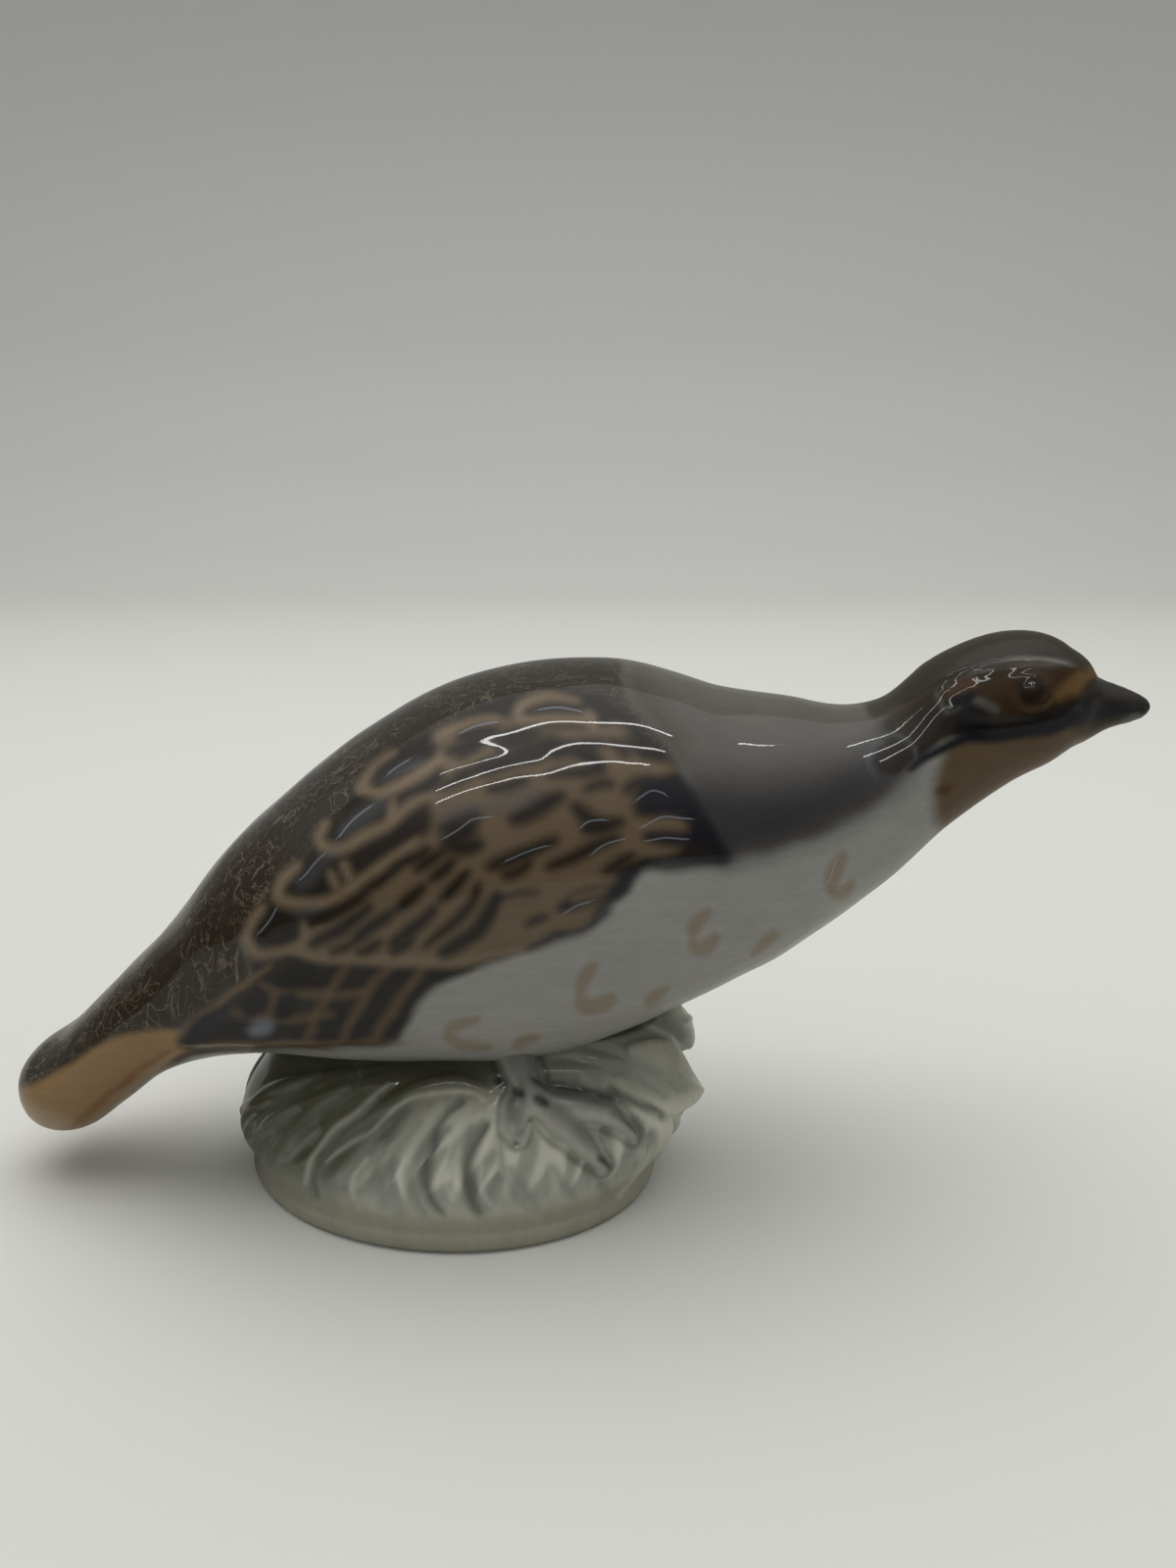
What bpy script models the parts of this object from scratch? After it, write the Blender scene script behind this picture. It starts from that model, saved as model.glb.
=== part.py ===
"""Porcelain partridge figurine: one hollow slip-cast piece on an oval grassy base.

The model is in metres, +Z up, and its dimensions below are in millimetres and degrees.
The bird looks along +X, the base stands on z = 0, and the origin is the middle of the
length and width. Run it with blender --background --python part.py.
"""

import math

import bmesh
import bpy
import numpy as np
from mathutils import Matrix, Vector

MM = 0.001

# Body, neck and head: one form lofted along a spine, from the tail tip to the beak's root.
# Each row is a section square to the spine: its middle (x, z), its reach up and down,
# and half its width. Heights are above the lowest point of the belly.
BODY_SECTIONS = (
    (-119.4, -12.4, 0.0, 0.0, 0.0),
    (-115.6, -11.6, 6.6, 7.4, 9.0),
    (-109.8, -8.6, 9.0, 11.6, 14.0),
    (-101.5, -2.4, 8.6, 11.8, 15.5),
    (-91.0, 6.6, 9.5, 13.0, 17.0),
    (-76.0, 17.4, 12.9, 20.0, 21.0),
    (-58.0, 26.6, 23.0, 28.2, 29.0),
    (-36.0, 33.6, 33.8, 34.4, 35.5),
    (-12.0, 39.6, 41.2, 39.2, 38.0),
    (14.0, 45.0, 39.9, 35.2, 35.5),
    (38.0, 49.0, 30.2, 27.6, 28.5),
    (57.0, 54.2, 23.4, 19.2, 21.5),
    (72.5, 62.0, 15.6, 13.3, 16.5),
    (85.5, 70.2, 17.2, 12.2, 14.4),
    (96.0, 74.2, 16.6, 11.2, 13.2),
    (103.5, 75.4, 11.6, 8.4, 10.2),
    (107.4, 75.2, 5.6, 5.2, 5.6),
    (108.6, 75.4, 0.0, 0.0, 0.0),
)
BODY_FULLNESS = 2.15
BELLY_HEIGHT = 28.0
BODY_AROUND = 120
BODY_ALONG = 220
SPINE_STEP = 0.004

# Beak: sections across it, as x, rise over the gape, fall under it and half width.
BEAK_SECTIONS = (
    (99.0, 0.0, 0.0, 0.0),
    (101.0, 6.8, 6.6, 7.0),
    (105.5, 6.9, 6.8, 6.6),
    (109.0, 6.4, 5.0, 5.2),
    (112.5, 5.0, 3.9, 3.9),
    (116.0, 3.7, 3.1, 2.7),
    (119.2, 2.2, 2.0, 1.5),
    (121.0, 0.0, 0.0, 0.0),
)
GAPE_HEIGHT = 74.4
GAPE_DEPTH = 0.16
GAPE_WIDTH = 13.0

# Head relief, placed by the spine share and by the angle from the crown.
EYE_PLACE = (0.807, 67.0)
EYE_RADIUS = 2.5
EYE_SINK = 1.1
LID_LENGTH = 3.8
LID_HEIGHT = 3.0
LID_THICKNESS = 0.8
BROW_TRACK = (
    (0.748, 20.0),
    (0.765, 30.0),
    (0.78, 34.0),
    (0.802, 39.0),
    (0.83, 43.0),
    (0.853, 44.0),
    (0.885, 41.0),
)
BROW_RADIUS = 1.7
CHEEK_TRACK = ((0.748, 66.0), (0.765, 79.0), (0.79, 86.0), (0.825, 88.0), (0.86, 88.0), (0.89, 92.0))
CHEEK_RADIUS = 2.2
FOLD_SINK = 0.55

# Wings: the skin rises inside two outlines drawn from the side, the coverts over the wing.
# The rise starts below the ridge of the back and dies away towards the breast.
WING_RELIEF = 1.5
COVERT_RELIEF = 2.5
WING_EDGE = 1.6
WING_SUNK = 0.6
WING_RISE_ANGLES = (24.0, 58.0)
WING_FALL_RUN = (-34.0, 14.0)
WING_OUTLINE = (
    (-77.0, 8.6),
    (-75.4, 13.6),
    (-67.0, 20.0),
    (-59.0, 28.8),
    (-60.0, 35.0),
    (-54.2, 45.5),
    (-45.0, 56.0),
    (-34.0, 65.5),
    (-20.0, 71.5),
    (0.0, 73.5),
    (14.0, 71.0),
    (24.0, 63.0),
    (29.5, 53.5),
    (22.0, 50.5),
    (11.0, 46.0),
    (1.0, 40.5),
    (-10.0, 35.5),
    (-20.0, 30.0),
    (-27.0, 22.0),
    (-30.0, 15.4),
    (-42.0, 14.0),
    (-54.0, 12.2),
    (-66.0, 9.8),
)
COVERT_OUTLINE = (
    (-58.0, 33.0),
    (-52.6, 45.0),
    (-43.6, 55.0),
    (-33.0, 64.0),
    (-20.0, 70.0),
    (0.0, 72.0),
    (13.0, 69.5),
    (22.5, 62.0),
    (27.0, 54.5),
    (20.0, 51.0),
    (10.0, 47.0),
    (1.0, 42.5),
    (-6.0, 39.5),
    (-18.0, 36.0),
    (-32.0, 34.6),
    (-46.0, 34.4),
    (-54.0, 32.0),
)
OUTLINE_STEPS = 6

# Flight feathers: soft ridges along the folded wing, by spine share and angle, tip first.
FLIGHT_TRACKS = (
    ((0.293, 111.0), (0.325, 115.0), (0.358, 116.0), (0.388, 117.0), (0.413, 117.0)),
    ((0.325, 101.0), (0.348, 104.0), (0.378, 105.0), (0.403, 106.0), (0.425, 105.0)),
    ((0.353, 92.0), (0.375, 94.0), (0.395, 95.0), (0.418, 96.0), (0.438, 96.0)),
)
FLIGHT_RADIUS = 1.9
FLIGHT_LIFT = 0.45

# Base: a mound lofted through level ovals, as height, left end, right end and half depth.
# The ovals lean: their near side sits further along the bird than their far side.
BASE_SECTIONS = (
    (0.0, -66.4, 16.8, 35.3),
    (3.0, -68.2, 17.8, 36.4),
    (7.0, -69.8, 19.0, 36.8),
    (11.0, -71.2, 21.8, 36.0),
    (16.0, -70.2, 25.0, 34.0),
    (22.0, -66.8, 25.6, 31.2),
    (28.0, -61.6, 25.6, 28.2),
    (33.0, -50.0, 24.6, 24.8),
    (37.0, -34.0, 21.0, 19.6),
)
BASE_LEAN = 4.0
TURF_SLOPE = 12.0
MOUND_BOTTOM = -2.0

# Grass blades fan out from each foot, sink in where they start, and melt into the rim.
# Waves around the base vary their widths and the heights where they end.
BLADE_COUNT = 42
BLADE_RADIUS = 2.4
BLADE_WIDTH_WAVE = 0.14
BLADE_WIDTH_WAVES = 11
BLADE_LIFT = -0.9
BLADE_START_HEIGHT = 33.0
BLADE_END_HEIGHT = 7.6
BLADE_END_WAVE = 1.1
BLADE_END_WAVES = 7
BLADE_FALL = 1.45
BLADE_RISE_SHARE = 0.35
BLADE_MELT_SHARE = 0.3
BLADE_SWAY = 2.0
BLADE_SWAYS = 9.0
FAN_ANGLE = 80.0
FAN_PULL = 0.62
FAN_CURVE = 1.4

# A fold of turf that runs from each foot back and down, as x and height.
FOLD_TRACK = ((-13.0, 29.5), (-20.0, 31.0), (-27.5, 29.5), (-34.5, 26.0), (-41.0, 22.0), (-47.5, 17.0))
FOLD_RADIUS = 2.6
FOLD_LIFT = -0.2

# Leaves at the breast end: start and tip, as plan angle and height, the tip's reach and half width.
LEAVES = (
    (-50.0, 31.5, -9.0, 19.0, 2.2, 8.0),
    (-16.0, 34.0, 12.0, 27.0, 2.4, 6.0),
    (48.0, 31.0, 20.0, 18.0, 2.2, 8.0),
)
LEAF_FLATNESS = 0.3
LEAF_START_LIFT = -1.0
LEAF_FALL = 1.4

# Legs and toes, on the turf at x and height, from the ankle out to each claw.
LEG_RADIUS = 2.9
HIP_RADIUS = 4.0
HIP = (-10.5, 21.0, 39.0)
ANKLE = (-5.0, 28.5)
TOE_RADIUS = 2.5
TOE_LIFT = 1.1
TOE_FLATNESS = 0.85
TOES = (
    ((-5.0, 28.5), (0.0, 24.0), (4.5, 19.5), (8.5, 14.5)),
    ((-4.5, 29.0), (3.0, 26.5), (9.5, 24.0), (14.8, 18.5)),
    ((-6.5, 30.0), (-8.6, 26.0), (-8.2, 22.5)),
)
LEFT_FOOT_SHIFT = 8.0

# Slip-cast shell: the hollow's span along the spine, its walls, the foot ring and the vent.
HOLLOW_SPAN = (0.2, 0.93)
HOLLOW_AROUND = 20
HOLLOW_ALONG = 30
BODY_WALL = 3.8
BASE_WALL = 4.4
FLOOR_WALL = 3.5
FOOT_RING_WIDTH = 6.0
FOOT_RECESS = 1.5
VENT_RADIUS = 3.0

# Glaze rounding: the pieces are fused on this grid, smoothed, and thinned to a face budget.
FUSE_GRID = 0.85
GLAZE_PASSES = 6
OUTER_FACES = 9800


def clear_scene():
    for obj in list(bpy.data.objects):
        bpy.data.objects.remove(obj)


def new_collection(name):
    collection = bpy.data.collections.new(name)
    bpy.context.scene.collection.children.link(collection)
    return collection


def new_object(name, bm, collection, scale=MM):
    """A mesh object from a bmesh in millimetres, which it frees."""
    bmesh.ops.scale(bm, vec=(scale, scale, scale), verts=bm.verts)
    bmesh.ops.recalc_face_normals(bm, faces=bm.faces)
    mesh = bpy.data.meshes.new(name)
    bm.to_mesh(mesh)
    bm.free()
    obj = bpy.data.objects.new(name, mesh)
    collection.objects.link(obj)
    return obj


def meshed(obj, collection):
    """The evaluated object as a plain closed mesh, in place of the object."""
    bpy.context.view_layer.update()
    graph = bpy.context.evaluated_depsgraph_get()
    mesh = bpy.data.meshes.new_from_object(obj.evaluated_get(graph))
    made = bpy.data.objects.new(obj.name, mesh)
    name = obj.name
    bpy.data.objects.remove(obj)
    made.name = name
    collection.objects.link(made)
    return made


def ease(value):
    """A smooth step from 0 to 1, for numbers or arrays."""
    value = np.clip(value, 0.0, 1.0)
    return value * value * (3 - 2 * value)


def smooth_rows(rows, share):
    """Rows of a table at shares from 0 to 1, on a smooth curve through all rows."""
    table = np.array(rows, float)
    place = np.clip(np.asarray(share, float), 0, 1) * (len(table) - 1)
    first = np.minimum(place.astype(int), len(table) - 2)
    step = (place - first)[..., None]
    here, after = table[first], table[first + 1]
    leave = (after - table[np.maximum(first - 1, 0)]) / 2
    arrive = (table[np.minimum(first + 2, len(table) - 1)] - here) / 2
    return (
        here * (2 * step**3 - 3 * step**2 + 1)
        + leave * (step**3 - 2 * step**2 + step)
        + after * (3 * step**2 - 2 * step**3)
        + arrive * (step**3 - step**2)
    )


def through(track, count):
    """Evenly many points on a smooth curve through a short track."""
    return smooth_rows(track, np.linspace(0, 1, count))


def rounded(value, fullness):
    """A sine or cosine bent towards a squarer oval."""
    return np.sign(value) * np.abs(value) ** (2 / fullness)


def skin(shares, degrees, side, grow=0.0):
    """Points of the bird's skin at spine shares and angles from the ridge of the back."""
    shares, degrees = np.atleast_1d(shares).astype(float), np.atleast_1d(degrees).astype(float)
    x, z, up, down, half = smooth_rows(BODY_SECTIONS, shares).T
    ahead = smooth_rows(BODY_SECTIONS, shares + SPINE_STEP)
    behind = smooth_rows(BODY_SECTIONS, shares - SPINE_STEP)
    run_x, run_z = ahead[:, 0] - behind[:, 0], ahead[:, 1] - behind[:, 1]
    run = np.hypot(run_x, run_z)
    rise = rounded(np.cos(np.radians(degrees)), BODY_FULLNESS)
    reach = rise * np.maximum(np.where(rise > 0, up, down) + grow, 0)
    across = side * rounded(np.sin(np.radians(degrees)), BODY_FULLNESS) * np.maximum(half + grow, 0)
    return np.stack([x - run_z / run * reach, across, z + BELLY_HEIGHT + run_x / run * reach], axis=1)


def around_loop(outline):
    """Points on a smooth closed curve through an outline."""
    wrapped = (outline[-1], *outline, outline[0], outline[1])
    turns = np.linspace(1, len(outline) + 1, OUTLINE_STEPS * len(outline), endpoint=False)
    return smooth_rows(wrapped, turns / (len(wrapped) - 1))


def inside_outline(x, z, outline):
    """How much each point lies inside a wing's outline, from 0 to 1 over its soft edge."""
    start = around_loop(outline)
    span = np.roll(start, -1, axis=0) - start
    from_x, from_z = x[:, None] - start[:, 0], z[:, None] - start[:, 1]
    along = np.clip((from_x * span[:, 0] + from_z * span[:, 1]) / (span**2).sum(axis=1), 0, 1)
    gap = np.hypot(from_x - along * span[:, 0], from_z - along * span[:, 1]).min(axis=1)
    beside = span[:, 0] * from_z < span[:, 1] * from_x
    crosses = ((from_z < 0) != (from_z < span[:, 1])) & (beside == (span[:, 1] < 0))
    inside = crosses.sum(axis=1) % 2 == 1
    return ease(np.where(inside, gap, -gap) / WING_EDGE + 0.5)


def wing_lift(x, z, degrees):
    """How far the folded wings lift the skin."""
    low, high = WING_RISE_ANGLES
    near, far = WING_FALL_RUN
    show = ease((degrees - low) / (high - low)) * (1 - ease((x - near) / (far - near)))
    sunk = WING_SUNK * (1 - show)
    wing = (WING_RELIEF * show - sunk) * inside_outline(x, z, WING_OUTLINE)
    coverts = (COVERT_RELIEF * show - sunk) * inside_outline(x, z, COVERT_OUTLINE)
    return np.maximum(np.maximum(wing, coverts), 0)


def lofted_body(name, collection, around, along, span=(0.0, 1.0), wall=None):
    """A sphere drawn out along the spine: the winged skin, or the hollow inside a wall."""
    bm = bmesh.new()
    bmesh.ops.create_uvsphere(bm, u_segments=around, v_segments=along, radius=1)
    ball = np.array([vert.co[:] for vert in bm.verts])
    shares = span[0] + (span[1] - span[0]) * np.arccos(np.clip(-ball[:, 2], -1, 1)) / math.pi
    turns = np.degrees(np.arctan2(ball[:, 1], ball[:, 0]))
    side, degrees = np.where(turns < 0, -1, 1), np.abs(turns)
    at_pole = np.hypot(ball[:, 0], ball[:, 1]) < 1e-5
    if wall is None:
        plain = skin(shares, degrees, side)
        places = skin(shares, degrees, side, wing_lift(plain[:, 0], plain[:, 2] - BELLY_HEIGHT, degrees))
    else:
        ridge, keel = np.zeros_like(shares), np.full_like(shares, 180.0)
        middle = (skin(shares, ridge, side, -wall) + skin(shares, keel, side, -wall)) / 2
        places = np.where(at_pole[:, None], middle, skin(shares, degrees, side, -wall))
    for vert, place in zip(bm.verts, places):
        vert.co = place
    return new_object(name, bm, collection)


def taper(count, radius, tip=0.35, start=0.7):
    """Radii that swell from the start to the middle and run out to the tip."""
    shares = np.linspace(0, 1, count)
    swell = start + (1 - start) * np.sin(np.minimum(shares * 2.2, 1) * math.pi / 2)
    run_out = 1 - (1 - tip) * np.clip((shares - 0.45) / 0.55, 0, 1) ** 1.4
    return radius * swell * run_out


def strand(name, collection, points, radii, outward=(0, 0, 1), flat=1.0):
    """A closed bar along points: a sphere whose rows follow them, flattened along outward."""
    bm = bmesh.new()
    rows = len(points)
    bmesh.ops.create_uvsphere(bm, u_segments=12, v_segments=rows + 1, radius=1)
    points = [Vector(point) for point in points]
    for vert in bm.verts:
        row = round(math.acos(max(-1, min(1, -vert.co.z))) / math.pi * (rows + 1))
        here = min(max(row, 1), rows) - 1
        run = (points[min(here + 1, rows - 1)] - points[max(here - 1, 0)]).normalized()
        if row in (0, rows + 1):
            vert.co = points[here] + run * radii[here] * (flat if row else -flat)
            continue
        up = Vector(outward[here] if len(outward) == rows else outward)
        across = run.cross(up).normalized()
        turn = math.atan2(vert.co.y, vert.co.x)
        spoke = across * math.cos(turn) + across.cross(run) * math.sin(turn) * flat
        vert.co = points[here] + spoke * radii[here]
    return new_object(name, bm, collection)


def beak(collection):
    """The closed beak, with the gape pressed in as a line along each side."""
    bm = bmesh.new()
    bmesh.ops.create_uvsphere(bm, u_segments=36, v_segments=30, radius=1)
    for vert in bm.verts:
        share = math.acos(max(-1, min(1, -vert.co.z))) / math.pi
        x, rise, fall, half = np.maximum(smooth_rows(BEAK_SECTIONS, share), 0)
        angle = math.atan2(vert.co.y, vert.co.x)
        off_gape = (abs(math.degrees(angle)) - 90) / GAPE_WIDTH
        squeeze = 1 - GAPE_DEPTH * math.exp(-(off_gape**2))
        reach = math.cos(angle) * (rise if math.cos(angle) > 0 else fall)
        vert.co = Vector((x, math.sin(angle) * half * squeeze, GAPE_HEIGHT + BELLY_HEIGHT + reach))
    new_object("beak", bm, collection)


def head_relief(collection):
    """Eyes in their lids, brow ridges and cheek folds, on both sides."""
    for side, label in ((-1, "right"), (1, "left")):
        eye = Vector(skin(*EYE_PLACE, side)[0])
        out = (eye - Vector(skin(*EYE_PLACE, side, -1.0)[0])).normalized()
        turn = out.to_track_quat("Z", "Y").to_matrix()
        bm = bmesh.new()
        place = Matrix.Translation(eye - out * EYE_SINK)
        bmesh.ops.create_uvsphere(bm, u_segments=16, v_segments=12, radius=EYE_RADIUS, matrix=place)
        new_object(f"{label}_eye", bm, collection)
        for part, first in (("upper", 0), ("lower", math.pi)):
            lid = [
                eye + turn @ Vector((math.cos(angle) * LID_LENGTH, math.sin(angle) * LID_HEIGHT, 0))
                for angle in np.linspace(first, first + math.pi, 12)
            ]
            strand(f"{label}_{part}_lid", collection, lid, [LID_THICKNESS] * len(lid), tuple(out))
        for name, track, radius in (("brow", BROW_TRACK, BROW_RADIUS), ("cheek", CHEEK_TRACK, CHEEK_RADIUS)):
            shares, degrees = through(track, 14).T
            points = skin(shares, degrees, side, -radius * FOLD_SINK)
            strand(f"{label}_{name}", collection, points, taper(14, radius))


def flights(collection):
    """Soft ridges of the flight feathers along each folded wing."""
    for side, label in ((-1, "right"), (1, "left")):
        for index, track in enumerate(FLIGHT_TRACKS):
            shares, degrees = through(track, 14).T
            points = skin(shares, degrees, side, FLIGHT_LIFT)
            strand(f"{label}_flight_{index + 1}", collection, points, taper(14, FLIGHT_RADIUS, tip=0.3))


def turf_section(height):
    """The oval of the mound at a height: its middle x, half length and half depth."""
    heights = [row[0] for row in BASE_SECTIONS]
    share = np.interp(height, heights, np.linspace(0, 1, len(heights)))
    _, left, right, deep = smooth_rows(BASE_SECTIONS, share)
    return (left + right) / 2, (right - left) / 2, deep


def turf_outward(angle, half_x, half_y):
    return Vector((math.cos(angle) * half_y, math.sin(angle) * half_x, TURF_SLOPE)).normalized()


def on_turf(degrees, height, lift=0.0):
    """A point of the mound at a plan angle and a height, pushed out by a lift, and its outward."""
    angle = math.radians(degrees)
    middle, half_x, half_y = turf_section(height)
    x = middle + half_x * math.cos(angle) - BASE_LEAN * math.sin(angle)
    outward = turf_outward(angle, half_x, half_y)
    return Vector((x, half_y * math.sin(angle), height)) + outward * lift, outward


def turf_at(x, height, side, lift):
    """The point of the mound at an x and a height on one side, and its outward."""
    middle, half_x, _ = turf_section(height)
    turn = math.atan2(-BASE_LEAN, half_x)
    spread = math.acos(max(-1, min(1, (x - middle) / math.hypot(half_x, BASE_LEAN))))
    return on_turf(math.degrees(turn + side * spread), height, lift)


def mound(name, collection, inset=0.0, bottom=MOUND_BOTTOM, around=96, along=36):
    """The turf as stacked ovals with flat ends. The wall's inset makes the hollow."""
    bm = bmesh.new()
    rings = []
    for height in np.linspace(bottom, BASE_SECTIONS[-1][0] - inset, along + 1):
        middle, half_x, half_y = turf_section(height)
        ring = []
        for angle in np.linspace(0, 2 * math.pi, around, endpoint=False):
            x = middle + (half_x - inset) * math.cos(angle) - BASE_LEAN * math.sin(angle)
            ring.append(bm.verts.new((x, (half_y - inset) * math.sin(angle), height)))
        rings.append([bm.edges.new((ring[i - 1], ring[i])) for i in range(around)])
    for low, high in zip(rings, rings[1:]):
        bmesh.ops.bridge_loops(bm, edges=low + high)
    for ring in (rings[0], rings[-1]):
        bmesh.ops.contextual_create(bm, geom=ring)
    return new_object(name, bm, collection)


def turf_strand(name, collection, places, radii, flat=1.0):
    """A strand through points and outward directions found on the turf."""
    points, outward = zip(*places)
    strand(name, collection, points, radii, outward, flat)


def grass(collection):
    """Blades laid over the turf, in a fan from each foot down to the rim."""
    for index in range(BLADE_COUNT):
        end = 360 * (index + 0.5) / BLADE_COUNT - 180
        radius = BLADE_RADIUS * (1 + BLADE_WIDTH_WAVE * math.sin(math.radians(BLADE_WIDTH_WAVES * end)))
        low = BLADE_END_HEIGHT + BLADE_END_WAVE * math.sin(math.radians(BLADE_END_WAVES * end))
        places = []
        for share in np.linspace(0, 1, 16):
            pull = FAN_PULL * (1 - share) ** FAN_CURVE
            sway = BLADE_SWAY * math.sin(BLADE_SWAYS * share + end)
            angle = end + (math.copysign(FAN_ANGLE, end) - end) * pull + sway
            shown = ease(share / BLADE_RISE_SHARE) * ease((1 - share) / BLADE_MELT_SHARE)
            height = BLADE_START_HEIGHT + (low - BLADE_START_HEIGHT) * share**BLADE_FALL
            places.append(on_turf(angle, height, BLADE_LIFT - (1 - shown) * (radius + BLADE_LIFT)))
        radii = taper(len(places), radius, tip=0.7, start=0.6)
        turf_strand(f"blade_{index + 1:02d}", collection, places, radii)


def folds(collection):
    """The raised fold of turf behind each foot."""
    for side, label, shift in ((-1, "right", 0.0), (1, "left", LEFT_FOOT_SHIFT)):
        places = [turf_at(x + shift, height, side, FOLD_LIFT) for x, height in through(FOLD_TRACK, 20)]
        turf_strand(f"{label}_fold", collection, places, taper(20, FOLD_RADIUS, tip=0.4, start=0.5))


def leaves(collection):
    """Broad leaves laid over the turf, whose tips stand out at the breast end."""
    for index, (start, high, end, low, out, half) in enumerate(LEAVES):
        places = []
        for share in np.linspace(0, 1, 16):
            angle = start + (end - start) * share
            fall = share**LEAF_FALL
            lift = LEAF_START_LIFT + (out - LEAF_START_LIFT) * fall
            places.append(on_turf(angle, high + (low - high) * fall, lift))
        radii = taper(len(places), half, tip=0.3, start=0.6)
        turf_strand(f"leaf_{index + 1}", collection, places, radii, LEAF_FLATNESS)


def legs(collection):
    """A short shank out of the belly and the toes laid on the turf, on both sides."""
    for side, label, shift in ((-1, "right", 0.0), (1, "left", LEFT_FOOT_SHIFT)):
        ankle = turf_at(ANKLE[0] + shift, ANKLE[1], side, TOE_LIFT)[0]
        hip = Vector((HIP[0] + shift, side * HIP[1], HIP[2]))
        shank = [hip.lerp(ankle, share) for share in np.linspace(0, 1, 6)]
        strand(f"{label}_shank", collection, shank, np.linspace(HIP_RADIUS, LEG_RADIUS, 6), (1, 0, 0))
        for toe, track in enumerate(TOES):
            steps = through(track, 4 * len(track))
            places = [turf_at(x + shift, height, side, TOE_LIFT) for x, height in steps]
            radii = taper(len(places), TOE_RADIUS, tip=0.4, start=1)
            turf_strand(f"{label}_toe_{toe + 1}", collection, places, radii, TOE_FLATNESS)


def fused(pieces, name, collection):
    """All pieces as one glazed skin: fused on a grid, smoothed and thinned."""
    bm = bmesh.new()
    for obj in pieces:
        bm.from_mesh(obj.data)
    joined = new_object(f"{name}_joined", bm, collection, scale=1)
    for obj in list(pieces):
        bpy.data.objects.remove(obj)
    fuse = joined.modifiers.new("fuse", "REMESH")
    fuse.mode = "VOXEL"
    fuse.voxel_size = FUSE_GRID * MM
    glaze = joined.modifiers.new("glaze", "SMOOTH")
    glaze.factor = 0.5
    glaze.iterations = GLAZE_PASSES
    skin_object = meshed(joined, collection)
    skin_object.name = name
    thin = skin_object.modifiers.new("thin", "DECIMATE")
    thin.ratio = min(1.0, OUTER_FACES / (2 * len(skin_object.data.polygons)))
    return meshed(skin_object, collection)


def box_cutter(name, low, high, collection):
    bm = bmesh.new()
    size = Vector(high) - Vector(low)
    place = Matrix.Translation((Vector(high) + Vector(low)) / 2) @ Matrix.Diagonal((*size, 1))
    bmesh.ops.create_cube(bm, size=1, matrix=place)
    return new_object(name, bm, collection)


def oval_cutter(name, half_x, half_y, low, high, collection, segments=48):
    """An upright oval plug under the middle of the base, with the base's lean."""
    bm = bmesh.new()
    bmesh.ops.create_cone(bm, cap_ends=True, segments=segments, radius1=1, radius2=1, depth=1)
    middle, base_half, _ = turf_section(0)
    for vert in bm.verts:
        x = middle + vert.co.x * half_x - vert.co.y * BASE_LEAN * half_x / base_half
        vert.co = Vector((x, vert.co.y * half_y, (low + high) / 2 + vert.co.z * (high - low)))
    return new_object(name, bm, collection)


def boolean(obj, cutter, operation):
    modifier = obj.modifiers.new(cutter.name, "BOOLEAN")
    modifier.operation = operation
    modifier.object = cutter
    modifier.solver = "EXACT"
    return obj


def hollow(collection):
    """What the slip leaves empty: the inside of the body and of the base, fused into one."""
    body = lofted_body("body_hollow", collection, HOLLOW_AROUND, HOLLOW_ALONG, HOLLOW_SPAN, BODY_WALL)
    floor = FOOT_RECESS + FLOOR_WALL
    base = mound("base_hollow", collection, inset=BASE_WALL, bottom=floor, around=28, along=6)
    both = meshed(boolean(body, base, "UNION"), collection)
    bpy.data.objects.remove(base)
    return both


def ceramic(name, colour, roughness):
    material = bpy.data.materials.new(name)
    material.use_nodes = True
    shader = material.node_tree.nodes["Principled BSDF"]
    shader.inputs["Base Color"].default_value = (*colour, 1)
    shader.inputs["Roughness"].default_value = roughness
    shader.inputs["Metallic"].default_value = 0.0
    return material


def build():
    clear_scene()
    pieces = new_collection("pieces")
    cutters = new_collection("cutters")
    model = new_collection("partridge_figurine")

    lofted_body("body", pieces, BODY_AROUND, BODY_ALONG)
    beak(pieces)
    head_relief(pieces)
    flights(pieces)
    mound("turf", pieces)
    grass(pieces)
    folds(pieces)
    leaves(pieces)
    legs(pieces)
    figurine = fused(list(pieces.objects), "partridge_figurine", model)

    cavity = hollow(cutters)
    reach = 1 / MM
    ground = box_cutter("ground", (-reach, -reach, -reach), (reach, reach, 0), cutters)
    _, half_x, half_y = turf_section(0)
    ring_x, ring_y = half_x - FOOT_RING_WIDTH, half_y - FOOT_RING_WIDTH
    recess = oval_cutter("recess", ring_x, ring_y, -FOOT_RECESS, FOOT_RECESS, cutters)
    vent_top = FOOT_RECESS + 2 * FLOOR_WALL
    vent = oval_cutter("vent", VENT_RADIUS, VENT_RADIUS, 0, vent_top, cutters, segments=20)
    for cutter in (ground, cavity, recess, vent):
        boolean(figurine, cutter, "DIFFERENCE")
        cutter.hide_render = True
        cutter.display_type = "WIRE"
    figurine.data.materials.append(ceramic("glazed_porcelain", (0.16, 0.13, 0.10), 0.12))
    figurine.data.shade_smooth()


build()
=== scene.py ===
"""Porcelain partridge figurine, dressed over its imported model: glazed bird, grassy base and stage."""

import math

import bmesh
import bpy
import numpy as np
from bpy.props import FloatProperty, FloatVectorProperty, IntProperty, PointerProperty
from mathutils import Matrix, Vector


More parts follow.
